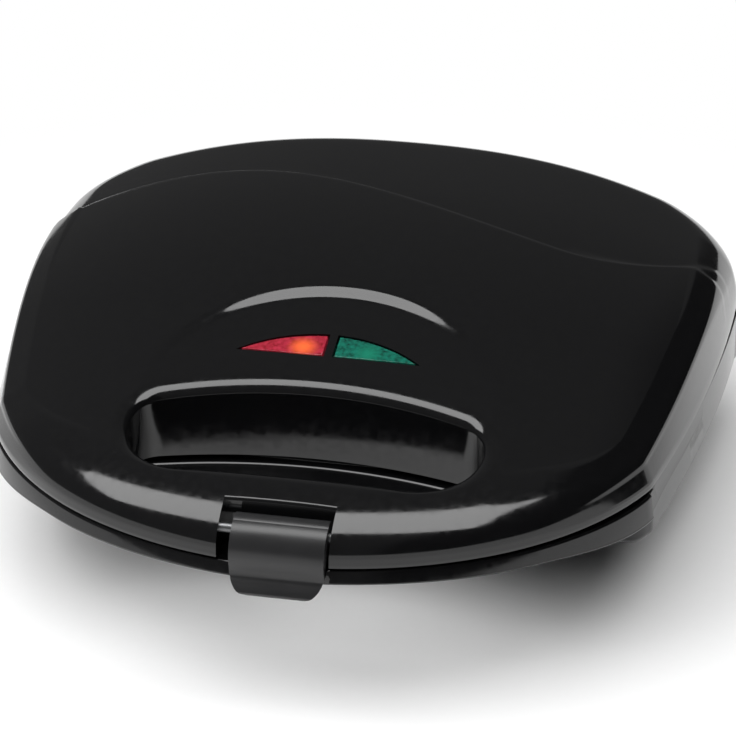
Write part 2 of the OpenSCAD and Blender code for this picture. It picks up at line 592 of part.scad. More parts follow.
module latch_clip() {
    color([0.1, 0.1, 0.11]) intersection() {
        along_x(0, clip_w) clip_profile();
        translate([0, front_y + 2 * pin_in + cut, 0]) rotate([90, 0, 0]) linear_extrude(2 * pin_in + clip_out
            + lip_out + 4 * cut) clip_front();
    }
}
module latch_pin() {
    color("silver") along_x(0, notch_w + 2 * pin_hold) translate([pin_y, pin_z]) circle(pin_d / 2);
}

// the lenses lie flush in the top, which is flat there from front to rear
lens_y = front_y + lens_from;
lens_x = lens_w / 4;
lens_z = top(lens_x, lens_y);
lens_tilt = atan((top(lens_x, lens_y + lens_d) - lens_z) / lens_d);
module on_lens_plane(depth) {
    translate([0, lens_y, lens_z]) rotate([lens_tilt, 0, 0]) translate([0, 0, -depth]) children();
}
module lens_outline(grow) { // the right one
    w = lens_w / 2;
    r = (w * w + lens_d * lens_d) / (2 * lens_d);
    intersection() {
        translate([0, lens_d - r]) circle(r + grow, $fn = 160);
        translate([lens_gap / 2 - grow, -grow]) square([w + 2 * grow, lens_d + 2 * grow]);
    }
}
flange_t = 1.2;
module lens() {
    on_lens_plane(lens_t) linear_extrude(lens_t) lens_outline(0);
    on_lens_plane(lens_t + flange_t) linear_extrude(flange_t + 0.01) lens_outline(1.2);
}
module green_lens() { color([0.05, 0.5, 0.38]) lens(); }
module red_lens() { color([0.8, 0.1, 0.12]) mirror([1, 0, 0]) lens(); }
carrier_top = lens_t + flange_t + seat;
carrier_h = 9;
carrier_t = 1.5;
lamp_r = 2.5;
lamp_l = 14;
carrier_post_x = lens_w / 2 + 7;
module lamp_carrier() {
    w = lens_w + 6;
    d = lens_d + 5;
    color("dimgray") on_lens_plane(carrier_top + carrier_h) {
        difference() {
            translate([-w / 2, -2.5, 0]) cube([w, d, carrier_h]);
            for (x = [-1, 1]) translate([x * (w + carrier_t) / 4 - (w / 2 - 1.5 * carrier_t) / 2, carrier_t - 2.5, carrier_t])
                cube([w / 2 - 1.5 * carrier_t, d - 2 * carrier_t, carrier_h]);
        }
        for (x = [-1, 1]) difference() {
            translate([x * (w / 2 + 3.5) - 4, lens_d / 2 - 4, carrier_h - 2]) cube([8, 8, 2]);
            translate([x * carrier_post_x, lens_d / 2, carrier_h - 2 - cut]) cylinder(h = 2 + 2 * cut, r = 1.6);
        }
    }
}
module lamp(x) {
    on_lens_plane(carrier_top + carrier_h - carrier_t - seat - lamp_r) translate([x - lamp_l / 2, lens_d / 2 - 1, 0])
        rotate([0, 90, 0]) cylinder(h = lamp_l, r = lamp_r);
}
module lens_pocket() { // flat seats under the skin for the lenses' flanges and, past two bosses, for the carrier
    difference() {
        translate([-lens_w / 2 - 12, -5, 0]) cube([lens_w + 24, lens_d + 10, carrier_h]);
        for (x = [-1, 1]) translate([x * carrier_post_x, lens_d / 2, carrier_h - flange_t - seat - 0.2]) difference() {
            cylinder(h = carrier_h, r = 3);
            translate([0, 0, -cut]) cylinder(h = 3, r = 1);
        }
    }
}
module mains_lamp() { color("orange") lamp(-lens_x); }
module ready_lamp() { color("lightgreen") lamp(lens_x); }

// the small electrical pieces, all sealed inside
thermostat_x = 24;
thermostat_r = 8;
tab_l = 4; // length of the thermostat's tabs
fuse_x = -30; // the fuse's plain end
fuse_l = 15;
fuse_tip = 3;
fuse_r = 2;
module thermostat() {
    color("ivory") translate([thermostat_x, plate_y, upper_sheet_z + sheet_t + seat]) {
        cylinder(h = 5, r = thermostat_r);
        translate([0, 0, 4]) cylinder(h = 4, r = thermostat_r - 2.5);
        for (x = [-1, 1]) translate([x * thermostat_r - tab_l / 2, -2, 3]) cube([tab_l, 4, 1.6]);
    }
}
module thermal_fuse() {
    color("silver") translate([fuse_x, plate_y, upper_sheet_z + sheet_t + seat + fuse_r]) rotate([0, 90, 0]) {
        cylinder(h = fuse_l - fuse_tip, r = fuse_r);
        translate([0, 0, fuse_l - fuse_tip]) cylinder(h = fuse_tip, r1 = fuse_r, r2 = 0.6);
    }
}
block_size = [30, 10, 9];
block_at = [-block_size.x, plate_y + sheet_d / 2 + 9, base_z + wall];
module terminal_block() {
    color("ivory") translate(block_at - [block_size.x / 2, block_size.y / 2, 0]) difference() {
        cube(block_size);
        for (i = [0:2]) translate([block_size.x * (i + 0.5) / 3, -cut, block_size.z / 2]) rotate([-90, 0, 0])
            cylinder(h = block_size.y + 2 * cut, r = 1.6);
        for (i = [0:2]) translate([block_size.x * (i + 0.5) / 3, block_size.y / 2, block_size.z / 2])
            cylinder(h = block_size.z, r = 1.8);
    }
}
gland_z = base_rim_z - 6.4;
gland_r = inlet_d / 2 + 1.2;
gland_flange_r = gland_r + 0.8;
wall_y = rear_y + side_out; // the base's rear face
module cord_gland() { // a rubber grommet that grips the wall between its two flanges
    color([0.05, 0.05, 0.05]) translate([0, wall_y, gland_z]) rotate([-90, 0, 0]) rotate_extrude() polygon([
        [inlet_d / 2, -wall - 2.4], [gland_flange_r, -wall - 2.4], [gland_flange_r, -wall - 0.4],
        [gland_r, -wall - 0.4], [gland_r, 0.3], [gland_flange_r, 0.3], [gland_flange_r, 1.6],
        [gland_flange_r - 0.8, 3.4], [inlet_d / 2, 3.4]]);
}
wire_d = 2.4;
wire_bend = 4;
module straight(l) { rotate([0, 90, 0]) cylinder(h = l, r = wire_d / 2); } // along +X from the origin
module bend() { // from +X round to +Y
    translate([0, wire_bend, 0]) rotate([0, 0, -90]) rotate_extrude(angle = 90) translate([wire_bend, 0])
        circle(wire_d / 2);
}
block_top = block_at.z + block_size.z;
module base_wiring() { // from the gland along the rear wall, then down to the block's middle screw
    run_y = wall_y - wall - 3 - block_at.y - wire_bend;
    run_x = -block_at.x - 2 * wire_bend;
    color("ivory") translate([0, block_at.y, gland_z]) {
        translate([0, wire_bend, 0]) rotate([0, 0, 90]) straight(run_y);
        translate([-wire_bend, 0, 0]) bend();
        translate([-wire_bend - run_x, 0, 0]) straight(run_x);
        translate([-wire_bend - run_x, 0, 0]) rotate([0, 180, 0]) rotate([90, 0, 0]) bend();
        translate([block_at.x, 0, block_top + 0.3 - gland_z]) rotate([0, -90, 0])
            straight(gland_z - wire_bend - block_top - 0.3);
    }
}
module lid_wiring() { // between fuse and thermostat, and from the thermostat back towards the hinge
    wire_gap = 0.4; // between a wire's end and the piece that it serves
    from_x = fuse_x + fuse_l + wire_gap;
    tab_x = thermostat_r + tab_l / 2 + wire_gap;
    color("ivory") translate([0, plate_y, upper_sheet_z + sheet_t + seat + fuse_r]) {
        translate([from_x, 0, 0]) straight(thermostat_x - tab_x - from_x);
        translate([thermostat_x + tab_x, 0, 0]) {
            straight(wire_bend);
            translate([wire_bend, 0, 0]) bend();
            translate([2 * wire_bend, wire_bend, 0]) rotate([0, 0, 90]) straight(sheet_d / 2 - 11);
        }
    }
}
foot_in = 48; // from the body's sides to the feet
foot_ahead = 31.95; // from the body's front to the front feet
foot_back = 33.95; // from the body's rear to the rear feet
foot_x = body_w / 2 - foot_in;
foot_front_y = body_y + foot_ahead;
foot_rear_y = rear_y - foot_back;
foot_hole_r = 3;
module foot(x, y) {
    color([0.06, 0.06, 0.06]) translate([x, y, 0]) rotate_extrude() polygon([[0, 0], [foot_d / 2 - 1.4, 0],
        [foot_d / 2 - 0.6, 0.8], [foot_d / 2, foot_h - 1], [foot_d / 2, foot_h], [foot_hole_r - 0.1, foot_h],
        [foot_hole_r - 0.1, foot_h + wall + 1], [0, foot_h + wall + 1]]);
}

module base_shell() {
    color(gloss_black) difference() {
        union() {
            difference() {
                union() {
                    base_body();
                    base_bar();
                }
                base_hollow();
            }
            for (p = screw_at) translate([p.x, p.y, base_z + 6]) cylinder(h = lower_frame_z - seat - base_z - 6, r = boss_r + 0.5);
            base_ears();
        }
        base_opening();
        translate([-hook_notch_w / 2, front_y - cut, base_z]) cube([hook_notch_w, hook_notch_d + cut, base_h + cut]);
        for (p = screw_at) translate([p.x, p.y, lower_frame_z - screw_l]) cylinder(h = screw_l + cut, r = screw_d / 2 + 0.1);
        hinge_bores(hinge_pin_d / 2 + 0.02);
        translate([0, wall_y + cut, gland_z]) rotate([90, 0, 0]) cylinder(h = wall + 3 * cut, r = gland_r + 0.1);
        for (x = [-foot_x, foot_x], y = [foot_front_y, foot_rear_y]) translate([x, y, base_z - cut])
            cylinder(h = wall + 2 * cut, r = foot_hole_r);
    }
}
module lid_shell() {
    color(gloss_black) difference() {
        union() {
            difference() {
                lid_solid();
                lid_hollow();
            }
            for (p = screw_at) translate([p.x, p.y, upper_frame_z + frame_t + seat])
                cylinder(h = top(p.x, p.y) - 1.6 - upper_frame_z - frame_t - seat, r = boss_r + 0.5);
            for (x = [-1, 1]) on_lens_plane(carrier_top) translate([x * carrier_post_x, lens_d / 2, 0])
                cylinder(h = carrier_top - 1.5, r = 2.7);
            lid_knuckles();
        }
        opening_tool();
        translate([-notch_w / 2, front_y - cut, rim_z - cut]) cube([notch_w, notch_d + cut, lid_h]);
        along_x(0, notch_w + 2 * pin_hold + 0.4) translate([pin_y, pin_z]) circle(pin_d / 2 + 0.02);
        for (p = screw_at) translate([p.x, p.y, upper_frame_z]) cylinder(h = screw_l - 2, r = screw_d / 2 + 0.1);
        hinge_bores(hinge_pin_d / 2 + run);
        on_lens_plane(lens_t - 0.2 + carrier_h) lens_pocket();
        for (h = [0, 1]) mirror([h, 0, 0]) on_lens_plane(wall + 3) linear_extrude(wall + 6) lens_outline(0.2);
    }
}

lid_shell();
lid_frame();
base_shell();
base_frame();
latch_clip();
latch_pin();
red_lens();
green_lens();
lamp_carrier();
mains_lamp();
ready_lamp();
upper_plate();
lower_plate();
upper_heater();
lower_heater();
upper_reflector();
lower_reflector();
upper_plate_screws();
lower_plate_screws();
thermostat();
thermal_fuse();
terminal_block();
cord_gland();
hinge_pin(-hinge_x);  // left_hinge_pin
hinge_pin(hinge_x);  // right_hinge_pin
foot(-foot_x, foot_front_y);  // foot_front_left
foot(foot_x, foot_front_y);  // foot_front_right
foot(-foot_x, foot_rear_y);  // foot_rear_left
foot(foot_x, foot_rear_y);  // foot_rear_right
base_wiring();
lid_wiring();
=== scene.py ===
# %% [markdown]
# # A two-slice sandwich toaster
# The measured model is loaded first. It fixes every size and every joint, and each
# Blender piece below rides on one of its bodies: base, lid or latch.

# %% Load the measured model
import json
import math
import bmesh
import bpy
import numpy as np
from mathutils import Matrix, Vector


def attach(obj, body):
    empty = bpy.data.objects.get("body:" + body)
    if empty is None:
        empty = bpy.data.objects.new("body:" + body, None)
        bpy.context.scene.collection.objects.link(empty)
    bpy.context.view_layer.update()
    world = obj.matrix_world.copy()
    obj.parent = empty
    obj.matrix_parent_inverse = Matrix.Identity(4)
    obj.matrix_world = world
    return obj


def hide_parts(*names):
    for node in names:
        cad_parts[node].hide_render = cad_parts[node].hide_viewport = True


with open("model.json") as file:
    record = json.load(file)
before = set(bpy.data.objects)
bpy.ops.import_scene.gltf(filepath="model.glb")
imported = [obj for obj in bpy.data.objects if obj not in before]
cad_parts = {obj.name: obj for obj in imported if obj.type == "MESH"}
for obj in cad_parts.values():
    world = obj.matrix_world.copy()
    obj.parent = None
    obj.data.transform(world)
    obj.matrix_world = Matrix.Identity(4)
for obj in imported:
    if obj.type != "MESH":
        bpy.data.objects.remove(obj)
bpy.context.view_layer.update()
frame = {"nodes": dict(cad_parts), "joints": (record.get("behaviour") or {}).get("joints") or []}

MM = 0.001

# %% [markdown]
# ## Three helpers
# Colours are picked as sRGB hex values, but shaders count in linear light, so one function
# converts them. A second adds any shader node with its settings and links. A third turns
# points in millimetres into a mesh in metres.

# %% Colour and shader-node helpers
def colour(hex_value):
    parts = [int(hex_value[i:i + 2], 16) / 255 for i in (1, 3, 5)]
    linear = [p / 12.92 if p <= 0.04045 else ((p + 0.055) / 1.055) ** 2.4 for p in parts]
    return (*linear, 1.0)


def add(tree, kind, inputs=None, **settings):
    node = tree.nodes.new(kind)
    for name, value in settings.items():
        setattr(node, name, value)
    for key, value in (inputs or {}).items():
        if isinstance(value, bpy.types.NodeSocket):
            tree.links.new(value, node.inputs[key])
        else:
            node.inputs[key].default_value = value
    return node


print("mid grey #808080 is", round(colour("#808080")[0], 3), "in linear light")

# %% Mesh helpers
def make_piece(name, points, faces, material=None, sharp=30):
    mesh = bpy.data.meshes.new(name)
    mesh.from_pydata([tuple(p) for p in np.asarray(points, float) * MM], [], faces)
    mesh.update()
    piece = bpy.data.objects.new(name, mesh)
    bpy.context.scene.collection.objects.link(piece)
    finish_mesh(piece, sharp)
    if material:
        mesh.materials.append(material)
    return piece


def finish_mesh(piece, sharp=30):
    bm = bmesh.new()
    bm.from_mesh(piece.data)
    bmesh.ops.remove_doubles(bm, verts=bm.verts, dist=1e-7)
    bmesh.ops.recalc_face_normals(bm, faces=bm.faces)
    bm.to_mesh(piece.data)
    bm.free()
    piece.data.polygons.foreach_set("use_smooth", [True] * len(piece.data.polygons))
    piece.data.set_sharp_from_angle(angle=math.radians(sharp))


def loft(rings, tip=None):  # a closed skin over a row of rings
    count = len(rings[0])
    points = [p for ring in rings for p in ring]
    faces = [list(range(count))[::-1]]
    for k in range(len(rings) - 1):
        for i in range(count):
            a, b = k * count + i, k * count + (i + 1) % count
            faces.append([a, b, b + count, a + count])
    last = (len(rings) - 1) * count
    if tip is None:
        faces.append([last + i for i in range(count)])
    else:
        points.append(tip)
        faces += [[last + i, last + (i + 1) % count, len(points) - 1] for i in range(count)]
    return points, faces


# %% [markdown]
# ## Joining and cutting solids
# Closed solids are joined and cut with the Boolean modifier, whose Manifold solver is quick
# on dense meshes. The result is applied at once, so that only plain meshes are left.

# %% Join and cut
def apply_modifiers(piece):
    bpy.context.view_layer.update()
    seen = piece.evaluated_get(bpy.context.evaluated_depsgraph_get())
    mesh = bpy.data.meshes.new_from_object(seen)
    piece.modifiers.clear()
    old, piece.data = piece.data, mesh
    bpy.data.meshes.remove(old)


def combine(piece, other, how):
    step = piece.modifiers.new(how, "BOOLEAN")
    step.operation, step.solver, step.object = how, "MANIFOLD", other
    apply_modifiers(piece)
    used = other.data
    bpy.data.objects.remove(other)
    bpy.data.meshes.remove(used)


def cut(piece, points, faces):
    combine(piece, make_piece("tool", points, faces), "DIFFERENCE")


def join(piece, points, faces):
    combine(piece, make_piece("addition", points, faces), "UNION")


# %% Simple solids and rounds
def prism(outline, low, high, axis="z"):
    rings = []
    for level in (low, high):
        if axis == "z":
            rings.append([(a, b, level) for a, b in outline])
        else:  # an outline in Y and Z, pulled along X
            rings.append([(level, a, b) for a, b in outline])
    return loft(rings)


def circle(centre, radius, steps=64):
    turn = [2 * math.pi * i / steps for i in range(steps)]
    return [(centre[0] + radius * math.cos(t), centre[1] + radius * math.sin(t)) for t in turn]


def box(low, high):
    corners = [(low[0], low[1]), (high[0], low[1]), (high[0], high[1]), (low[0], high[1])]
    return prism(corners, low[2], high[2])


def round_over(out, drop, end=90, step=15):  # how far out and how far up, from wall to skin
    turns = [math.radians(t) for t in range(0, end + 1, step)]
    return [(out * (1 - math.cos(t)), -drop * (1 - math.sin(t))) for t in turns]


def direction(a):
    return np.array([math.cos(math.radians(a)), math.sin(math.radians(a))])


# %% [markdown]
# ## The toaster's outline
# Seen from above, the rim is a chain of arcs. Each point is found from the direction its
# outward normal points in, from -90 degrees at the front to 90 degrees at the rear, which
# makes it simple to step inwards evenly. The left half mirrors the right one.

# %% Sizes of the outline and the hinge, in millimetres
body_w, body_d = 232.0, 235.0
front_r, flank_r, corner_r, side_r, rear_corner_r = 118.0, 104.0, 20.0, 640.0, 34.0
front_a, flank_a, corner_a, rear_a = -60.0, -24.0, -11.0, 78.0
base_z, base_rim_z, rim_z, top_z = 9.0, 42.6, 43.4, 84.95
bar_low_z, side_out, wall = 37.6, 1.2, 2.6
hinge_x, knuckle_half, knuckle_r = 72.0, 8.0, 5.5
ear_t, ear_gap, hinge_clear = 5.0, 0.4, 0.6


def arc_step(r, a, b):
    a, b = np.radians(a), np.radians(b)
    return r * np.stack([np.cos(b) - np.cos(a), np.sin(b) - np.sin(a)], -1)


q1 = arc_step(front_r, -90, front_a)
q2 = q1 + arc_step(flank_r, front_a, flank_a)
q3 = q2 + arc_step(corner_r, flank_a, corner_a)
q4 = q3 + arc_step(side_r, corner_a, 0)
q5 = q4 + arc_step(rear_corner_r, 0, rear_a)
rear_r = q5[0] / math.cos(math.radians(rear_a))
raw_d = q5[1] + rear_r * (1 - math.sin(math.radians(rear_a)))
kx, ky = body_w / (2 * q4[0]), body_d / raw_d  # these bring the chain to the toaster's size
print("the chain is scaled by", round(kx, 4), "in X and", round(ky, 4), "in Y")

# %% Where the outline stands
def rear_line(x):  # how far the rear wall is behind the front edge
    return ky * (raw_d - rear_r + math.sqrt(rear_r ** 2 - (x / kx) ** 2))


joint = next(j for j in frame["joints"] if j["name"] == "lid_hinge")
axis_y, axis_z = joint["pos_m"][1] / MM, joint["pos_m"][2] / MM
inner_ear_x = hinge_x - knuckle_half - ear_gap - ear_t
front_y = axis_y - (rear_line(inner_ear_x) + side_out + hinge_clear + knuckle_r)
rear_y = front_y + body_d
print("front edge at", round(front_y, 2), "mm, rear edge at", round(rear_y, 2), "mm")

# %% Points and normals of the rim
def raw_rim(a):
    if a <= front_a:
        return arc_step(front_r, -90, a)
    if a <= flank_a:
        return q1 + arc_step(flank_r, front_a, a)
    if a <= corner_a:
        return q2 + arc_step(corner_r, flank_a, a)
    if a <= 0:
        return q3 + arc_step(side_r, corner_a, a)
    if a <= rear_a:
        return q4 + arc_step(rear_corner_r, 0, a)
    return q5 + arc_step(rear_r, rear_a, a)


def stretch(p):
    return np.array([p[0] * kx, front_y + p[1] * ky])


def normal(a):
    v = direction(a) / [kx, ky]
    return v / np.linalg.norm(v)


def turns(*spans):  # angles from one corner to the next, each span in so many steps
    return [a + (b - a) * i / n for a, b, n in spans for i in range(n)] + [90]


def both_sides(points):
    points = np.asarray(points)
    return np.concatenate([points, (points * [-1, 1])[-2:0:-1]])


rim_angles = np.array(turns((-90, front_a, 60), (front_a, flank_a, 70), (flank_a, corner_a, 14),
                            (corner_a, 0, 100), (0, rear_a, 60), (rear_a, 90, 40)))
rim = both_sides([stretch(raw_rim(a)) for a in rim_angles])
outward = both_sides([normal(a) for a in rim_angles])
turn = np.concatenate([rim_angles, rim_angles[-2:0:-1]])
print("the rim has", len(rim), "points and is", round(np.ptp(rim[:, 0]), 1), "mm wide")

# %% [markdown]
# ## The lid's top
# The top is a gentle dome: a spine that climbs from the front, levels off and falls a little,
# lowered towards both sides. Inside a round brow it drops by a step, which fades out again
# towards the front and the sides, and behind a wave that crosses the whole lid it drops once
# more. It could be sculpted, but a function that gives the height anywhere also lets every
# later cut follow the skin.

# %% Height of the lid's top
slope, crown, crown_power, rear_fall = 0.2, 20.5, 2.6, 0.0006
level_y, high_y = front_y + 110, front_y + 182
level_z = top_z - slope * (high_y - level_y) / 2
brow_y, brow_reach, brow_step, brow_r, brow_w = front_y + 56, 54.5, 1.8, 59.5, 5.0
brow_start, brow_power = 10, 3
rear_step, rear_step_left, wave_w = 0.8, 1.5, 2.4
wave_mid_y, wave_rise, wave_length, wave_shift = front_y + 167.5, 17.5, 260, 15
swing_back, swing_x, swing_over, swing_end = 17, 60, 45, 50


def soft(t):
    t = np.clip(t, 0, 1)
    return t * t * (3 - 2 * t)


def wave_y(x):  # its right end swings back
    swing = swing_back * (np.clip(x - swing_x, 0, swing_end) / swing_over) ** 2
    return wave_mid_y - wave_rise * np.sin(2 * math.pi * (x - wave_shift) / wave_length) + swing


def top(x, y):
    x, y = np.asarray(x, float), np.asarray(y, float)
    climb = np.where(y < level_y, level_z - slope * (level_y - y), np.where(
        y < high_y, top_z - slope * (high_y - y) ** 2 / (2 * (high_y - level_y)),
        top_z - rear_fall * (y - high_y) ** 2))
    side = crown * (2 * np.abs(x) / body_w) ** crown_power
    from_brow = np.hypot(x, y - brow_y)
    inside = np.where(
        y < brow_y, soft((y - front_y - brow_start) / (brow_y - front_y - brow_start)),
        1 - soft((from_brow - brow_r + brow_w) / brow_w))
    brow = brow_step * np.maximum(0, 1 - np.abs(x / brow_reach) ** brow_power) * inside
    behind = soft((y - wave_y(x)) / wave_w)
    step = rear_step + rear_step_left * soft(-2 * x / body_w)
    return climb - side - brow - step * behind


print("the top is", round(float(top(0, front_y + 20)), 1), "mm high at the handle and",
      round(float(top(0, high_y)), 1), "mm behind")

# %% [markdown]
# ## The lid's edge
# At the front, the edge is a low upright band that rolls over into the top. The roll is tight
# below and opens in two steps on its way up, so light draws a narrow line low down and a
# broad soft one above it. Along the sides it is a tall wall with a tight round and a sloping
# face up to a faint crease, where the dome begins. Both profiles have the same number of
# rings, so that one passes into the other round the front corner and back towards the rear.

# %% Band and widths of the edge
edge_h, band_lean, foot_round = 2.6, 0.05, 0.8
roll_front, roll_side, roll_rear = 20.2, 17.0, 20.0
to_side_turn, to_rear_turn = 65, 60
side_from_a, side_full_a = -52, -24
fade_from_y, fade_over = 125, 97
side_end, side_wall_in, side_round, face_slope = 10.5, 2.4, 4.0, 0.6
wall_lean, face_lean = 8.0, 59.0


def roll_width(angle):
    to_side = (roll_side - roll_front) * soft((angle + 90) / to_side_turn)
    return roll_front + to_side + (roll_rear - roll_side) * soft(angle / to_rear_turn)


def rim_ring(inset, z):
    p = rim - np.reshape(inset, (-1, 1)) * outward
    return np.column_stack([p, np.broadcast_to(z, len(p))])


def at_sides(angle, y):  # 1 where the edge has its side profile, 0 where it has the roll
    from_corner = soft((angle - side_from_a) / (side_full_a - side_from_a))
    return from_corner * (1 - soft((y - front_y - fade_from_y) / fade_over))


edge_rings = [rim_ring(foot_round, rim_z), rim_ring(0.25, rim_z + 0.2),
              rim_ring(0, rim_z + foot_round)]
edge_rings += [rim_ring(band_lean * s, rim_z + foot_round + (edge_h - foot_round) * s)
               for s in (0.35, 0.7)]
side_share = at_sides(turn, rim[:, 1])
edge_in = roll_width(turn)
edge_in = edge_in + (side_end - edge_in) * side_share
ends = rim - edge_in[:, None] * outward
end_z = top(ends[:, 0], ends[:, 1])
print("the edge is", round(edge_in.min(), 1), "to", round(edge_in.max(), 1), "mm wide")

# %% Profile of the sides
wall_way, face_way = direction(wall_lean), direction(face_lean)
round_in = side_round * (wall_way[0] - face_way[0])
round_up = side_round * (face_way[1] - wall_way[1])
face_w = side_end - side_wall_in - round_in
face_low_z = end_z - face_slope * face_w
wall_top_z = face_low_z - round_up
side_profile = []
for k in range(8):  # the wall
    side_profile.append((band_lean + (side_wall_in - band_lean) * k / 8,
                         rim_z + edge_h + (wall_top_z - rim_z - edge_h) * k / 8))
for k in range(10):  # the tight round
    way = direction(wall_lean + (face_lean - wall_lean) * k / 10)
    side_profile.append((side_wall_in + side_round * (wall_way[0] - way[0]),
                         wall_top_z + side_round * (way[1] - wall_way[1])))
for k in range(7):  # the sloping face
    side_profile.append((side_wall_in + round_in + face_w * k / 6,
                         face_low_z + (end_z - face_low_z) * k / 6))
print("the side walls are up to", round(wall_top_z.max() - rim_z, 1), "mm tall")

# %% Roll of the front, and the mix of both profiles
roll_r, roll_front_a = 8.2, -20
roll_growth = [(20.8, 46, 12), (23.0, 64, 8)]  # radius added, from which lean, over which turn
count = len(side_profile)
lean = np.linspace(0, 90 - math.degrees(math.atan(slope)), count)  # of the roll's normal
radius = np.full(count, roll_r)
for added, start, over in roll_growth:
    radius = radius + added * soft((lean - start) / over)
move_in = np.cumsum(np.concatenate([[0], radius[1:] * -np.diff(np.cos(np.radians(lean)))]))
move_up = np.cumsum(np.concatenate([[0], radius[1:] * np.diff(np.sin(np.radians(lean)))]))
at_front = turn < roll_front_a
for k, (side_in, side_z) in enumerate(side_profile):
    t = math.radians(90 * k / (count - 1))  # at the rear, the roll is a plain ellipse
    share_in = np.where(at_front, move_in[k] / move_in[-1], 1 - math.cos(t))
    share_up = np.where(at_front, move_up[k] / move_up[-1], math.sin(t))
    inset = (band_lean + (edge_in - band_lean) * share_in) * (1 - side_share) + side_in * side_share
    p = rim - inset[:, None] * outward
    roll_z = np.where(at_front, end_z, top(p[:, 0], p[:, 1]))
    front_z = rim_z + edge_h + (roll_z - rim_z - edge_h) * share_up
    edge_rings.append(np.column_stack([p, front_z * (1 - side_share) + side_z * side_share]))
print("the edge has", len(edge_rings), "rings")

# %% [markdown]
# ## The lid as one solid
# From the edge, rays run in to a pole in the middle of the brow. Rings are laid across the
# rays: close together where a ray crosses the wave's step and the brow's, wide elsewhere, so
# that both steps stay crisp without a dense mesh everywhere.

# %% Rings of the top
first_hit, level_ray, far_off = 120.0, 0.3, 500
pole = np.array([0, brow_y])
reach = np.linalg.norm(ends - pole, axis=1)
ray = (ends - pole) / reach[:, None]
hit = np.full(len(rim), first_hit)
for _ in range(80):  # step by step to where each ray meets the wave
    ahead = (wave_y(hit * ray[:, 0]) - pole[1]) / np.maximum(ray[:, 1], level_ray)
    found = np.where(ray[:, 1] > level_ray, ahead, far_off)
    hit = 0.7 * hit + 0.3 * np.minimum(found, far_off)
wave_margin, wave_clear, brow_most = 4, 2.6, 0.86
wave_at = np.minimum(reach - wave_margin, hit)
brow_at = np.minimum(brow_r, brow_most * wave_at)
along = [reach + (wave_at + wave_clear - reach) * s for s in np.linspace(0, 1, 12)[1:]]
along += [wave_at + s for s in np.linspace(wave_w, 0, 9)]
along += [wave_at + (brow_at - wave_at) * s for s in np.linspace(0, 1, 40)[1:]]
along += [brow_at - brow_w * s for s in np.linspace(0, 1, 20)[1:]]
along += [(brow_at - brow_w) * (1 - s) for s in np.linspace(0, 1, 24)[1:-1]]
top_rings = []
for length in along:
    p = pole + ray * length[:, None]
    top_rings.append(np.column_stack([p, top(p[:, 0], p[:, 1])]))
lid = make_piece("lid_moulding", *loft(edge_rings + top_rings, tip=(*pole, float(top(*pole)))))
print("the solid lid has", len(lid.data.polygons), "faces")

# %% [markdown]
# ## The finger opening and the hollow inside
# The opening is one D-shaped tool. It flares at its top, which rounds the edge that fingers
# meet, and its rear wall leans, as a moulded wall has to when it leaves the tool. The hollow
# follows the body behind the opening at the moulding's wall thickness. Both could be built
# into the lid's rings, but a cut with one closed tool leaves a clean edge with less work.

# %% Outline of the opening
open_y, open_w, open_front_r, open_rear_r = front_y + 26.5, 109.0, 21.0, 11.0
open_side_a, open_rear_a = 10, 72
o1 = np.array([open_w / 2 - open_front_r, open_y])
o2 = o1 + arc_step(open_front_r, -90, open_side_a)
o3 = o2 + arc_step(open_rear_r, open_side_a, open_rear_a)
open_back_r = o3[0] / math.cos(math.radians(open_rear_a))
open_rear_y = o3[1] + open_back_r * (1 - math.sin(math.radians(open_rear_a)))


def opening_point(a):
    if a <= open_side_a:
        return o1 + arc_step(open_front_r, -90, a)
    if a <= open_rear_a:
        return o2 + arc_step(open_rear_r, open_side_a, a)
    return o3 + arc_step(open_back_r, open_rear_a, a)


open_turn = turns((-90, open_side_a, 40), (open_side_a, open_rear_a, 24), (open_rear_a, 90, 30))
half = [opening_point(a) for a in open_turn]
front_run = [(x, open_y) for x in np.linspace(0, half[0][0], 12)[:-1]]
half_normals = [(0, -1)] * len(front_run) + [direction(a) for a in open_turn]
opening = both_sides(np.array(front_run + half))
opening_out = both_sides(np.array(half_normals, float))
rear_share = np.maximum(0, opening_out[:, 1])
print("the opening is", round(open_w, 1), "by", round(open_rear_y - open_y, 1), "mm")

# %% Cut the opening
open_lip, lip_drop = 5.8, 3.2
lip_over, lip_end, lip_end_over = 0.02, 0.92, 0.08  # a hair above the skin, so the cut is clean
draft, draft_foot = math.tan(math.radians(7)), 57.0


def opening_ring(out, up):
    p = opening + out * opening_out
    return np.column_stack([p, top(p[:, 0], p[:, 1]) + up])


def level_ring(line, z):
    return [(p[0], p[1], z) for p in line]


def drafted_ring(z):  # the rear wall leans, so that its foot is further forward
    back = rear_share * np.maximum(0, draft_foot - z) * draft
    return level_ring(opening - np.column_stack([0 * back, back]), z)


lip = [opening_ring(out, lip_over + up) for out, up in round_over(open_lip, lip_drop, 78, 6)]
lip.append(opening_ring(lip_end * open_lip, lip_end_over))
above_lid = np.array(lip[-1]) + [0, 0, 6]
cut(lid, *loft([drafted_ring(z) for z in (30, 40, 46, 50)] + lip + [above_lid]))
print("with the opening cut, the lid has", len(lid.data.polygons), "faces")

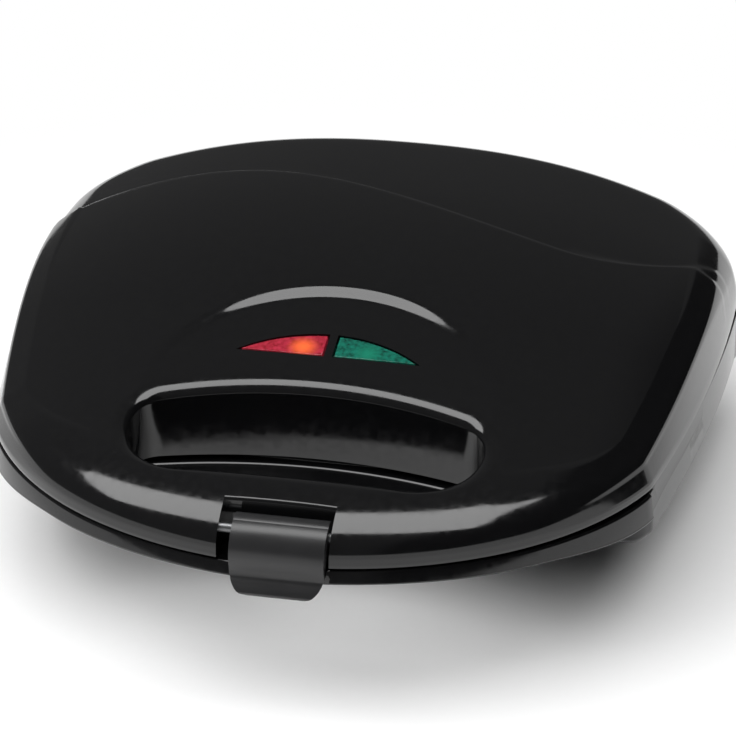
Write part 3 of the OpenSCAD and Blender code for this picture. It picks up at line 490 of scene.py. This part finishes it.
# %% Cut the hollow
def body_line(r, front, n=1):  # the rim behind a straight front, with corners of radius r
    raw_y = (front - front_y) / ky
    sine = (raw_y + r - q3[1] + side_r * math.sin(math.radians(corner_a))) / (side_r - r)
    start = math.degrees(math.asin(sine))
    centre = raw_rim(start) - r * direction(start)
    angles = turns((-90, start, 12 * n), (start, 0, 14 * n), (0, rear_a, 16 * n), (rear_a, 90, 8 * n))
    points = []
    for a in angles:
        in_corner = (centre[0] + r * direction(a)[0], raw_y + r * (1 + direction(a)[1]))
        points.append(stretch(raw_rim(a) if a >= start else in_corner))
    mirrored = [p * [-1, 1] for p in points[-2::-1]]
    normals = [normal(a) for a in angles]
    return (np.array(points + mirrored), np.array(normals + [v * [-1, 1] for v in normals[-2::-1]]),
            np.array(angles + angles[-2::-1]))


body_middle = np.array([0, (open_rear_y + rear_y) / 2])
hollow_corner_r, hollow_front_in, hollow_less, hollow_turn = 24, 4, 2, 40
inner, inner_out, inner_turn = body_line(hollow_corner_r, open_rear_y)
hollow_in = hollow_front_in + (roll_width(inner_turn) - hollow_less) * soft(
    (inner_turn + 90) / hollow_turn)
skin, hollow_foot = wall + 0.6, rim_z + edge_h - 0.5


def inner_ring(t, share=1.0):
    t = math.radians(t)
    p = inner - (wall + hollow_in * (1 - math.cos(t)))[:, None] * inner_out
    p = body_middle + (p - body_middle) * share
    height = top(p[:, 0], p[:, 1]) - skin - hollow_foot
    return np.column_stack([p, hollow_foot + height * math.sin(t)])


hollow = [level_ring(inner - wall * inner_out, rim_z - 1)] + [inner_ring(t) for t in range(0, 91, 10)]
hollow += [inner_ring(90, share=k) for k in (0.8, 0.55, 0.28)]
cut(lid, *loft(hollow, tip=(*body_middle, float(top(*body_middle)) - skin)))
print("the hollow lid has", len(lid.data.polygons), "faces")

# %% [markdown]
# ## Places for the latch and the lenses
# The latch hangs in a notch at the front. Its rear edge is rounded, so the tool follows the
# lid's height along that edge and flares there, which a bevel on so curved an edge would not
# do evenly. Each lens sits in a window that is a hair wider than it, seen as a fine dark line.

# %% Cut the notch and the pin's seat
pin_y, pin_z, pin_seat_r = front_y + 6.5, rim_z + 7.6, 1.52
clip_w, clip_x = 28.5, 2.0  # the clip has slid to the right on its pin
clip_left, clip_right = clip_x - clip_w / 2, clip_x + clip_w / 2
notch_half, notch_back, notch_round = clip_w / 2 + 2.7, front_y + 13.0, 0.9
sky_m = 0.2  # above everything


def surface_rows(piece, xs, y):
    down = Vector((0, 0, -1))
    return [piece.ray_cast(Vector((x * MM, y * MM, sky_m)), down)[1].z / MM for x in xs]


notch_x = np.linspace(-notch_half, notch_half, 25)
edge_z = surface_rows(lid, notch_x, notch_back)
edge_next = surface_rows(lid, notch_x, notch_back + 1)
rows = []
for x, z, z_next in zip(notch_x, edge_z, edge_next):
    fillet = [(x, notch_back + out, z + up + (z_next - z) * out)
              for out, up in round_over(notch_round, notch_round)]
    rows.append([(x, front_y - 2, rim_z - 2), (x, notch_back, rim_z - 2), *fillet,
                 (x, notch_back + notch_round, 90), (x, front_y - 2, 90)])
cut(lid, *loft(rows))
cut(lid, *prism(circle((pin_y, pin_z), pin_seat_r), -notch_half - 5, notch_half + 5, "x"))
print("the notch is", round(2 * notch_half, 1), "mm wide")

# %% Cut the windows
lens_w, lens_d, lens_gap, lens_y, lens_t = 57.0, 10.5, 3.0, front_y + 82.5, 3.4
lens_clear, lens_steps = 0.22, 40
lens_z = float(top(lens_w / 4, lens_y))
lens_tilt = math.atan((float(top(lens_w / 4, lens_y + lens_d)) - lens_z) / lens_d)


def on_lens_plane(points):
    c, s = math.cos(lens_tilt), math.sin(lens_tilt)
    return [(x, lens_y + y * c - z * s, lens_z + y * s + z * c) for x, y, z in points]


def lens_outline(grow, side):
    half_w = lens_w / 2
    r = (half_w ** 2 + lens_d ** 2) / (2 * lens_d)
    r_out, y0, x0 = r + grow, lens_d - r, lens_gap / 2 - grow
    x1 = math.sqrt(r_out ** 2 - (-grow - y0) ** 2)
    arc = [(x, y0 + math.sqrt(r_out ** 2 - x * x)) for x in np.linspace(x1, x0, lens_steps)]
    line = [(x0, -grow)] + arc
    return [(side * x, y) for x, y in (line if side > 0 else line[::-1])]


for side in (-1, 1):
    points, faces = prism(lens_outline(lens_clear, side), -9, 3)
    cut(lid, on_lens_plane(points), faces)
print("the lenses lean by", round(math.degrees(lens_tilt), 1), "degrees")

# %% [markdown]
# ## Hinge
# Two knuckles grow from the lid's rear wall, and two ears from the base stand on both
# sides of each. A web carries each of them to its wall. They are short prisms, joined to the
# walls and then bored through in one go, so that all the holes line up on the hinge's axis.

# %% Knuckles and their bores
web_lean, web_in = math.radians(40), wall / 2 + 0.2
lid_web, base_web = (6.5, 14), (2, 13)  # from and to where, above or below the pin
lid_bore_r, base_bore_r, bore_half = 2.05, 2.02, 14


def web(up, far_x):
    near_z, far_z = lid_web if up else base_web
    foot_y = front_y + rear_line(far_x) - (web_in if up else 0)
    tip_y, tip_z = axis_y + knuckle_r * math.cos(web_lean), knuckle_r * math.sin(web_lean)
    reach_z = (tip_y - foot_y) / math.tan(web_lean)
    line = [(axis_y, 0), (tip_y, tip_z), (foot_y, min(tip_z + reach_z, far_z)), (foot_y, near_z)]
    return [(y, axis_z + (z if up else -z)) for y, z in (line if up else line[::-1])]


def add_knuckle(piece, up, x0, x1, far_x):
    join(piece, *prism(web(up, far_x), x0, x1, "x"))
    join(piece, *prism(circle((axis_y, axis_z), knuckle_r), x0, x1, "x"))


def bore(piece, bore_r):
    for x in (-hinge_x, hinge_x):
        cut(piece, *prism(circle((axis_y, axis_z), bore_r), x - bore_half, x + bore_half, "x"))


for x in (-hinge_x, hinge_x):
    add_knuckle(lid, True, x - knuckle_half, x + knuckle_half, hinge_x + knuckle_half)
bore(lid, lid_bore_r)
finish_mesh(lid)
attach(lid, "lid")
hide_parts("lid_shell")
print("the finished lid has", len(lid.data.polygons), "faces")

# %% [markdown]
# ## The base
# Behind the opening, the base is a boat-shaped tub that stands on four feet. In front it is
# only a thin bar under the lid's handle, and its face leans back, so it mirrors little light
# and looks darker than the lid above it.

# %% The tub
side_trim, front_out, corner_in, edge_r, tub_corner_r = 0.45, 0.5, 1.2, 0.9, 8
tub, tub_out, tub_turn = body_line(tub_corner_r, open_rear_y, 3)
tub_grow = (front_out - (front_out + corner_in) * soft((tub_turn + 90) / 60)
            + (side_out - side_trim + corner_in) * soft((tub_turn + 10) / 14))


def tub_ring(inset, z, share=1.0):
    p = tub - (inset - tub_grow)[:, None] * tub_out
    p = body_middle + (p - body_middle) * share
    return np.column_stack([p, np.full(len(p), z)])


bilge_z = base_rim_z - 20
floor_rings = [tub_ring(3.6, base_z, 0.79), tub_ring(3, base_z + 0.4, 0.8)]
bilge_rings = [tub_ring(inset, bilge_z + up) for inset, up in
               ((3, 0), (2.1, 0.3), (1.2, 1.2), (0.5, 2), (0.1, 2.7), (0, 3.5))]
rim_rings = [tub_ring(inset, base_rim_z + up) for inset, up in round_over(edge_r, edge_r)]
base = make_piece("base_moulding", *loft(floor_rings + bilge_rings + rim_rings))
base_inside = [tub_ring(3 + wall, base_z + wall, 0.8), tub_ring(3.6 + wall, bilge_z + 1),
               tub_ring(wall, bilge_z + 3.4), tub_ring(wall, base_rim_z + 1)]
print("the solid tub has", len(base.data.polygons), "faces")

# %% The bar
corner_out, corner_drop = 1.4, 2.6  # at the front corners it swells and hangs down
low_in, low_drop, low_more, bar_top = 0.6, 1.3, 1.5, 3


def bar_ring(inset, up):
    low = soft((turn + 80) / 50)
    corner = soft((turn + 50) / 25) * (1 - soft((turn + 13) / 4))
    p = rim - (inset + low_in * corner_in * low - corner_out * corner)[:, None] * outward
    hang = 0 if up > bar_top else low_more * low + corner_drop * corner
    return np.column_stack([p, bar_low_z - low_drop * low + up - hang])


bar_profile = [(1.6, 0), (0.8, 0.15), (0.25, 0.5), (0, 1.0), (0.2, 1.7),
               (0.95, 3.8), (1.1, 4.2), (1.35, 4.5), (1.7, 4.65), (2.2, 4.7)]
join(base, *loft([bar_ring(inset, up) for inset, up in bar_profile]))
cut(base, *loft(base_inside))
print("with its bar, the hollow base has", len(base.data.polygons), "faces")

# %% [markdown]
# The opening goes on through the bar. There its rear wall stands ahead of the lid's and leans
# forward, down to its foot. Its upper edge has a fine round that catches a thin bright line,
# so that round is made of a few rings, given one by one, laid just over the bar's own skin.

# %% Cut the opening through the bar
base_lip, ledge = 1.3, 3.6
foot_forward = ledge + (base_rim_z - base_z) * math.tan(math.radians(20))
mouth_edge = [(0, -1.1), (0.08, -0.66), (0.14, -0.54), (0.7, -0.16), (0.92, -0.04),
              (base_lip, 0.08)]


def mouth_ring(out, forward, z):
    back = np.column_stack([0 * rear_share, rear_share * forward])
    return np.column_stack([opening + out * opening_out - back, np.broadcast_to(z, len(opening))])


bar_z = np.array([surface_rows(base, [x], y)[0] for x, y, z in mouth_ring(base_lip, ledge, 0)])
mouth = [mouth_ring(0, foot_forward, base_z - 1)]
mouth += [mouth_ring(out, ledge, bar_z + up) for out, up in mouth_edge]
mouth.append(mouth_ring(base_lip, ledge, base_rim_z + 1))
cut(base, *loft(mouth))
print("under the opening, the bar is", round(bar_z.min(), 1), "to", round(bar_z.max(), 1), "mm high")

# %% Cut the latch's slot, add the ears and bore them
slot_clear, slot_d = 0.8, 1.7
cut(base, *box((clip_left - slot_clear, front_y - 3, base_z - 1),
               (clip_right + slot_clear, front_y + slot_d, base_rim_z + 1)))
for x in (-hinge_x, hinge_x):
    for side in (-1, 1):
        ear_x = x + side * (knuckle_half + ear_gap + ear_t / 2)
        add_knuckle(base, False, ear_x - ear_t / 2, ear_x + ear_t / 2, abs(ear_x) + ear_t / 2)
bore(base, base_bore_r)
gland_z, gland_r = base_rim_z - 6.4, 4.5
gland_hole = [(x, rear_y + side_out + 1, z) for x, z in circle((0, gland_z), gland_r)]
cut(base, *loft([gland_hole, [(x, y - wall - 3, z) for x, y, z in gland_hole]]))
finish_mesh(base)
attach(base, "base")
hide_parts("base_shell")
print("the base has", len(base.data.polygons), "faces")

# %% [markdown]
# ## The latch clip
# The clip is one moulding: a barrel round its pin, a shoulder that rolls over to the front,
# a slightly hollow face and a lip to pull. It has some play and has slid a little to the
# right. Its side profile is pulled along X, the front view trims its corners, and a small
# bevel rounds every edge, which is simpler than modelling each round.

# %% Latch clip
face_y, clip_round, clip_low_z, lip_out = front_y - 3, 9.5, bar_low_z - 1.8, 2.8
barrel_r, clip_bore_r, tongue_r, clip_bevel = 5, 1.55, 6.5, 0.35
shoulder_z = pin_z + barrel_r - 0.3 - clip_round
inner_y, nose_y = face_y + 2.6, front_y + 1.3
shoulder = []
for t in range(0, 91, 5):
    t = math.radians(t)
    shoulder.append((pin_y - (pin_y - face_y) * math.sin(t), shoulder_z + clip_round * math.cos(t)))
face = [(face_y + 0.25, shoulder_z - 1.9), (face_y + 0.55, bar_low_z + 5.6),
        (face_y + 0.7, bar_low_z + 4.4), (face_y + 0.62, bar_low_z + 3.2),
        (face_y + 0.35, bar_low_z + 2.5), (face_y - 0.3, bar_low_z + 1.9)]
pull_lip = [(face_y - lip_out + 0.1, clip_low_z + 1.1), (face_y - lip_out, clip_low_z + 0.6),
            (face_y - lip_out + 0.4, clip_low_z), (nose_y - 0.3, clip_low_z + 0.1),
            (nose_y, clip_low_z + 0.4), (nose_y, bar_low_z - 0.5)]
back_side = [(inner_y, bar_low_z + 0.6), (inner_y, base_rim_z + 0.6),
             (inner_y + 1.5, base_rim_z + 2.2), (pin_y, pin_z - 4.4)]
profile = shoulder + face + pull_lip + back_side
clip = make_piece("clip_moulding", *prism(profile, clip_left, clip_right, "x"))
join(clip, *prism(circle((pin_y, pin_z), barrel_r), clip_left, clip_right, "x"))
cut(clip, *prism(circle((pin_y, pin_z), clip_bore_r), clip_left - 1, clip_right + 1, "x"))
print("the clip is", clip_w, "mm wide and", round(pin_z + barrel_r - clip_low_z, 1), "mm tall")

# %% Trim and round the clip
half_w = clip_w / 2
right_half = []
for t in range(0, 91, 6):
    t = math.radians(t)
    right_half.append((half_w - tongue_r + tongue_r * math.sin(t),
                       clip_low_z + tongue_r * (1 - math.cos(t))))
right_half.append((half_w, pin_z + 8))
front_view = right_half + [(-x, z) for x, z in right_half[::-1]]
trim = [[(clip_x + x, y, z) for x, z in front_view] for y in (front_y - 12, front_y + 16)]
combine(clip, make_piece("trim", *loft(trim)), "INTERSECT")
rounding = clip.modifiers.new("rounding", "BEVEL")
rounding.width, rounding.segments, rounding.use_clamp_overlap = clip_bevel * MM, 3, True
rounding.limit_method, rounding.angle_limit = "ANGLE", math.radians(50)
apply_modifiers(clip)
finish_mesh(clip, 35)
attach(clip, "latch")
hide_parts("latch_clip")
print("the clip has", len(clip.data.polygons), "faces")

# %% [markdown]
# ## The two lenses
# Each lens is a sliver of clear coloured plastic, flush with the lid, with a flange under the
# skin that holds it. Its outline is lofted through a few depths, and the last rings draw in
# to give the upper edges a fine round that catches the light.

# %% Lenses
flange = 1.2
lens_rings = [(flange, -lens_t - flange), (flange, -lens_t - 0.1), (-0.4, -lens_t), (-0.4, -0.45),
              (-0.45, -0.25), (-0.55, -0.12), (-0.8, -0.06)]


def make_lens(name, side):
    points, faces = loft([[(x, y, z) for x, y in lens_outline(grow, side)] for grow, z in lens_rings])
    lens = make_piece(name, on_lens_plane(points), faces, sharp=40)
    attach(lens, "lid")
    return lens


red_lens = make_lens("red_lens_piece", -1)
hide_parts("red_lens")
green_lens = make_lens("green_lens_piece", 1)
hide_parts("green_lens")
print("lenses made:", red_lens.name, green_lens.name)

# %% [markdown]
# ## Materials
# The housing is ABS, injection-moulded in a polished tool. That gives the eye a deep black
# with sharp reflections, broken only by a very faint waviness and a little dust. A noise of
# 14 mm bends the mirror image a touch, and one of 2.5 mm makes the gloss uneven.

# %% Glossy moulded ABS
def new_material(name):
    material = bpy.data.materials.new(name)
    material.use_nodes = True
    tree = material.node_tree
    tree.nodes.clear()
    shader = add(tree, "ShaderNodeBsdfPrincipled")
    add(tree, "ShaderNodeOutputMaterial", {"Surface": shader.outputs["BSDF"]})
    place = add(tree, "ShaderNodeTexCoord").outputs["Object"]
    return material, tree, shader, place


def per_mm(size_mm):
    return 1 / (size_mm * MM)


def connect(tree, shader, tint, rough, bump):
    tree.links.new(tint.outputs["Result"], shader.inputs["Base Color"])
    tree.links.new(rough.outputs["Result"], shader.inputs["Roughness"])
    tree.links.new(bump.outputs["Normal"], shader.inputs["Normal"])


plastic_ior = 1.53
abs_black, tree, shader, place = new_material("glossy_moulded_ABS")
shader.inputs["IOR"].default_value = plastic_ior
wave = add(tree, "ShaderNodeTexNoise", {"Vector": place, "Scale": per_mm(14), "Detail": 4.0})
dust = add(tree, "ShaderNodeTexNoise", {"Vector": place, "Scale": per_mm(2.5), "Detail": 5.0})
rough = add(tree, "ShaderNodeMapRange", {"Value": dust.outputs["Fac"], "From Min": 0.35,
                                         "From Max": 0.75, "To Min": 0.075, "To Max": 0.16})
tint = add(tree, "ShaderNodeMix", {"Factor": dust.outputs["Fac"], "A": colour("#09090a"),
                                   "B": colour("#0e0e0f")}, data_type="RGBA")
bump = add(tree, "ShaderNodeBump", {"Height": wave.outputs["Fac"], "Strength": 0.02,
                                    "Distance": 0.4 * MM})
connect(tree, shader, tint, rough, bump)
print("material:", abs_black.name)

# %% [markdown]
# The latch is moulded of glass-filled nylon in an eroded tool: a satin charcoal with a very
# fine grain. The real grain is finer than a pixel, so it is drawn at about 0.4 mm to show.
# It spreads the reflection, and the clip looks greyer and softer than the housing round it.

# %% Satin nylon of the latch
nylon, tree, shader, place = new_material("eroded_satin_nylon")
shader.inputs["IOR"].default_value = plastic_ior
grain = add(tree, "ShaderNodeTexNoise", {"Vector": place, "Scale": per_mm(0.4), "Detail": 3.0})
wear = add(tree, "ShaderNodeTexNoise", {"Vector": place, "Scale": per_mm(9), "Detail": 3.0})
rough = add(tree, "ShaderNodeMapRange", {"Value": wear.outputs["Fac"], "To Min": 0.26, "To Max": 0.36})
tint = add(tree, "ShaderNodeMix", {"Factor": wear.outputs["Fac"], "A": colour("#1c1c1d"),
                                   "B": colour("#242425")}, data_type="RGBA")
bump = add(tree, "ShaderNodeBump", {"Height": grain.outputs["Fac"], "Strength": 0.12,
                                    "Distance": 0.05 * MM})
connect(tree, shader, tint, rough, bump)
print("material:", nylon.name)

# %% [markdown]
# Lenses of indicator lamps are dyed clear acrylic with small moulded prisms on their underside,
# about 1.1 mm across, which spread the small lamp's light. That light is painted: the colour turns
# to a bright glow colour round the spot above the lamp, with a faint emission, and deepens away from
# it, and each prism's centre is painted lighter as a glint. Painting the glow by the distance from
# that spot is steadier than a real lamp behind clear plastic, which would need many more samples.

# %% Dyed acrylic lenses, with a painted lamp glow
prism_mm, mottle_mm = 1.1, 1.6


def lens_material(name, deep, mid, glow, spot, spot_mm, strength):
    material, tree, shader, place = new_material(name)
    shader.inputs["IOR"].default_value = 1.49
    shader.inputs["Roughness"].default_value = 0.12
    away = add(tree, "ShaderNodeVectorMath", {0: place, 1: [c * MM for c in spot]},
               operation="DISTANCE")
    near = add(tree, "ShaderNodeMapRange", {"Value": away.outputs["Value"], "From Min": 0.0,
                                            "From Max": spot_mm * MM, "To Min": 1.0, "To Max": 0.0},
               interpolation_type="SMOOTHSTEP")
    prisms = add(tree, "ShaderNodeTexVoronoi", {"Vector": place, "Scale": per_mm(prism_mm)},
                 feature="F1")
    mottle = add(tree, "ShaderNodeTexNoise", {"Vector": place, "Scale": per_mm(mottle_mm),
                                              "Detail": 4.0})
    patchy = add(tree, "ShaderNodeMapRange", {"Value": mottle.outputs["Fac"], "From Min": 0.35,
                                              "From Max": 0.65})
    blend = add(tree, "ShaderNodeMix", {"Factor": patchy.outputs["Result"], "A": colour(deep),
                                        "B": colour(mid)}, data_type="RGBA")
    # painted glints: the centre of each prism is painted lighter, towards the mid colour
    sparkle = add(tree, "ShaderNodeMapRange", {"Value": prisms.outputs["Distance"], "From Min": 0.15,
                                               "From Max": 0.7, "To Min": 0.55, "To Max": 0.0})
    with_painted_glints = add(tree, "ShaderNodeMix", {"Factor": sparkle.outputs["Result"],
                                         "A": blend.outputs["Result"], "B": colour(mid)},
                 data_type="RGBA")
    # painted glow: near the spot above the lamp the colour turns to the glow colour
    lit = add(tree, "ShaderNodeMix", {"Factor": near.outputs["Result"],
                                      "A": with_painted_glints.outputs["Result"], "B": colour(glow)},
              data_type="RGBA")
    bump = add(tree, "ShaderNodeBump", {"Height": prisms.outputs["Distance"], "Strength": 0.3,
                                        "Distance": 0.15 * MM})
    tree.links.new(lit.outputs["Result"], shader.inputs["Base Color"])
    # painted glow: the lens also emits a little light, though it is no lamp
    tree.links.new(lit.outputs["Result"], shader.inputs["Emission Color"])
    shader.inputs["Emission Strength"].default_value = strength
    tree.links.new(bump.outputs["Normal"], shader.inputs["Normal"])
    return material


spot_red = on_lens_plane([(-8.5, 3.6, 0)])[0]
spot_green = on_lens_plane([(12, 3.0, 0)])[0]
red_acrylic_with_painted_glow = lens_material("red_dyed_acrylic_painted_glow", "#74101b", "#a0273a", "#e66230",
                            spot_red, spot_mm=6.0, strength=0.22)
green_acrylic_with_painted_glow = lens_material("green_dyed_acrylic_painted_glow", "#04332a", "#0f6654", "#127058",
                              spot_green, spot_mm=6.0, strength=0.08)
print("materials:", red_acrylic_with_painted_glow.name, green_acrylic_with_painted_glow.name)

# %% [markdown]
# The pieces inside are everyday stock: drawn steel pins and screws, heaters browned by heat,
# pressed aluminium sheet, cast plates with a non-stick coat, rubber feet, glazed ceramic and
# silicone sleeves. To the eye they differ in tone, in gloss and in how coarse their surface
# is, so one function mixes two close tones over a pattern of the right size for each.

# %% Materials of the other pieces
stock_ior = 1.5


def stock(name, dark, light, roughness, pattern_mm, metallic=0.0, bump_mm=0.02, strength=0.1):
    material, tree, shader, place = new_material(name)
    shader.inputs["Metallic"].default_value = metallic
    if not metallic:
        shader.inputs["IOR"].default_value = stock_ior
    pattern = add(tree, "ShaderNodeTexNoise", {"Vector": place, "Scale": per_mm(pattern_mm),
                                               "Detail": 4.0})
    tint = add(tree, "ShaderNodeMix", {"Factor": pattern.outputs["Fac"], "A": colour(dark),
                                       "B": colour(light)}, data_type="RGBA")
    rough = add(tree, "ShaderNodeMapRange", {"Value": pattern.outputs["Fac"],
                                             "To Min": roughness * 0.8,
                                             "To Max": min(1, roughness * 1.2)})
    bump = add(tree, "ShaderNodeBump", {"Height": pattern.outputs["Fac"], "Strength": strength,
                                        "Distance": bump_mm * MM})
    connect(tree, shader, tint, rough, bump)
    return material


steel = stock("drawn_steel", "#a9a9aa", "#c4c4c2", 0.25, 1.5, metallic=1.0)
zinc = stock("zinc_plated_steel", "#77787a", "#8b8c8d", 0.42, 1.5, metallic=1.0)
heat_steel = stock("heat_browned_steel", "#4a4038", "#6b5f55", 0.45, 4, metallic=1.0)
sheet = stock("pressed_aluminium_sheet", "#b8b9ba", "#cfcfce", 0.3, 6, metallic=1.0)
non_stick = stock("cast_aluminium_with_non_stick_coat", "#161617", "#222223", 0.42, 0.6,
                  bump_mm=0.04, strength=0.25)
rubber = stock("moulded_rubber", "#101010", "#191919", 0.75, 0.8, bump_mm=0.05, strength=0.3)
ceramic = stock("glazed_ceramic", "#dcd8cc", "#eeebe2", 0.3, 3)
sleeve = stock("silicone_sleeve", "#cfcabd", "#e3dfd4", 0.5, 1.2)
grey_nylon = stock("grey_nylon", "#4c4c4d", "#5c5c5c", 0.45, 0.8)
amber_glass = stock("amber_lamp_glass", "#d5722a", "#f09a4a", 0.15, 5)
green_glass = stock("green_lamp_glass", "#6fae7a", "#9fd2a6", 0.15, 5)
print("other materials are ready")

# %% Dress every piece
finishes = {
    abs_black: [lid, base, "lid_frame", "base_frame"],
    nylon: [clip],
    red_acrylic_with_painted_glow: [red_lens],
    green_acrylic_with_painted_glow: [green_lens],
    zinc: ["latch_pin"],
    steel: ["left_hinge_pin", "right_hinge_pin", "upper_plate_screws", "lower_plate_screws", "thermal_fuse"],
    heat_steel: ["upper_heater", "lower_heater"],
    sheet: ["upper_reflector", "lower_reflector"],
    non_stick: ["upper_plate", "lower_plate"],
    rubber: ["foot_front_left", "foot_front_right", "foot_rear_left", "foot_rear_right", "cord_gland"],
    ceramic: ["thermostat", "terminal_block"],
    sleeve: ["base_wiring", "lid_wiring"],
    grey_nylon: ["lamp_carrier"],
    amber_glass: ["mains_lamp"],
    green_glass: ["ready_lamp"],
}
for material, dressed in finishes.items():
    for piece in dressed:
        piece = frame["nodes"][piece] if isinstance(piece, str) else piece
        if not piece.material_slots:
            piece.data.materials.append(material)
        for place_slot in piece.material_slots:
            place_slot.material = material
print("dressed", sum(len(v) for v in finishes.values()), "pieces")

# %% [markdown]
# ## Stage, light and camera
# The floor is a sheet of white paper. Near the toaster it shows plain lit paper, so that it
# keeps the shadow; further out it is simply white, as a lit backdrop would be. The world is
# white to the camera and through clear pieces. In it, gloss sees a dark room that is a little
# brighter on the left, which keeps the black deep and still draws the left edge.

# %% Floor
floor_half, near_m, far_m = 3000, 0.15, 0.32
corners = [(-floor_half, -floor_half, 0), (floor_half, -floor_half, 0),
           (floor_half, floor_half, 0), (-floor_half, floor_half, 0)]
floor = make_piece("floor", corners, [[0, 1, 2, 3]])
paper, tree, shader, place = new_material("matt_white_paper")
shader.inputs["Roughness"].default_value = 0.9
fibre = add(tree, "ShaderNodeTexNoise", {"Vector": place, "Scale": per_mm(3), "Detail": 3.0})
tint = add(tree, "ShaderNodeMix", {"Factor": fibre.outputs["Fac"], "A": colour("#f7f7f7"),
                                   "B": colour("#f9f9f9")}, data_type="RGBA")
tree.links.new(tint.outputs["Result"], shader.inputs["Base Color"])
away = add(tree, "ShaderNodeVectorMath", {0: place}, operation="LENGTH")
far = add(tree, "ShaderNodeMapRange", {"Value": away.outputs["Value"], "From Min": near_m,
                                       "From Max": far_m}, interpolation_type="SMOOTHSTEP")
path = add(tree, "ShaderNodeLightPath")
seen = add(tree, "ShaderNodeMath", {0: path.outputs["Is Camera Ray"],
                                    1: path.outputs["Is Glossy Ray"]}, operation="ADD")
seen = add(tree, "ShaderNodeMath", {0: seen.outputs["Value"], 1: path.outputs["Is Transmission Ray"]},
           operation="ADD", use_clamp=True)
share = add(tree, "ShaderNodeMath", {0: seen.outputs["Value"], 1: far.outputs["Result"]},
            operation="MULTIPLY")
white = add(tree, "ShaderNodeEmission", {"Color": (1, 1, 1, 1), "Strength": 1.0})
mix = add(tree, "ShaderNodeMixShader", {"Fac": share.outputs["Value"], 1: shader.outputs["BSDF"],
                                        2: white.outputs["Emission"]})
output = next(n for n in tree.nodes if n.type == "OUTPUT_MATERIAL")
tree.links.new(mix.outputs["Shader"], output.inputs["Surface"])
floor.data.materials.append(paper)
print("material:", paper.name)

# %% World
room_dark, room_left = 0.02, 0.12
world = bpy.data.worlds.new("studio")
bpy.context.scene.world = world
world.use_nodes = True
tree = world.node_tree
tree.nodes.clear()
place = add(tree, "ShaderNodeTexCoord").outputs["Generated"]
way = add(tree, "ShaderNodeSeparateXYZ", {"Vector": place})
glow = add(tree, "ShaderNodeMapRange", {"Value": way.outputs["X"], "From Min": 0.4, "From Max": 0.22,
                                        "To Min": room_dark, "To Max": room_left},
           interpolation_type="SMOOTHSTEP")
path = add(tree, "ShaderNodeLightPath")
shown = add(tree, "ShaderNodeMath", {0: path.outputs["Is Camera Ray"],
                                     1: path.outputs["Is Transmission Ray"]}, operation="MAXIMUM")
strength = add(tree, "ShaderNodeMath", {0: glow.outputs["Result"], 1: shown.outputs["Value"]},
               operation="MAXIMUM")
air = add(tree, "ShaderNodeBackground", {"Color": colour("#ffffff"),
                                         "Strength": strength.outputs["Value"]})
add(tree, "ShaderNodeOutputWorld", {"Surface": air.outputs["Background"]})
bpy.context.scene.view_settings.view_transform = "Standard"
print("floor and world are ready")

# %% [markdown]
# Black gloss shows only what it mirrors, and matt paper only what lights it, so the two are
# lit apart. A lamp from the left and a wide ceiling light the matt surfaces and stay out of
# the gloss. A long bright card overhead is seen in the gloss and lights nothing else.

# %% Lamps
def lamp(name, place_m, aim_m, size_m, radiance, in_gloss):
    light = bpy.data.lights.new(name, "AREA")
    light.shape, light.size, light.size_y = "RECTANGLE", size_m[0], size_m[1]
    light.energy = radiance * math.pi * size_m[0] * size_m[1]
    holder = bpy.data.objects.new(name, light)
    bpy.context.scene.collection.objects.link(holder)
    holder.location = place_m
    holder.rotation_euler = (Vector(aim_m) - Vector(place_m)).to_track_quat("-Z", "Y").to_euler()
    holder.visible_glossy, holder.visible_diffuse = in_gloss, not in_gloss


lamp("left_fill", (-1.3, -0.35, 1.05), (0, 0, 0), (1.4, 1.4), 2.7, in_gloss=False)
lamp("ceiling", (-0.2, -0.4, 1.6), (-0.2, -0.4, 0), (3.2, 3.2), 1.75, in_gloss=False)
lamp("card", (-0.34, -0.11, 1.3), (-0.34, -0.11, 0), (2.1, 0.6), 5.2, in_gloss=True)

# %% Camera
azimuth, elevation, distance = math.radians(11.35), math.radians(27.74), 1.18988
picture_px, focal_px, centre_px = 736, 3719.43, (350.33, 362.45)
sensor_mm = 36.0
target = Vector((0, -0.00105, 0.05))
back = Vector((math.sin(azimuth) * math.cos(elevation), -math.cos(azimuth) * math.cos(elevation),
               math.sin(elevation)))
view = bpy.data.objects.new("camera", bpy.data.cameras.new("camera"))
bpy.context.scene.collection.objects.link(view)
view.location = target + back * distance
view.rotation_euler = (-back).to_track_quat("-Z", "Y").to_euler()
view.data.sensor_width = sensor_mm
view.data.lens = focal_px / picture_px * sensor_mm
view.data.shift_x = (picture_px / 2 - centre_px[0]) / picture_px
view.data.shift_y = (centre_px[1] - picture_px / 2) / picture_px
view.data.clip_start, view.data.clip_end = 0.05, 20
bpy.context.scene.camera = view
print("focal length", round(view.data.lens, 1), "mm")
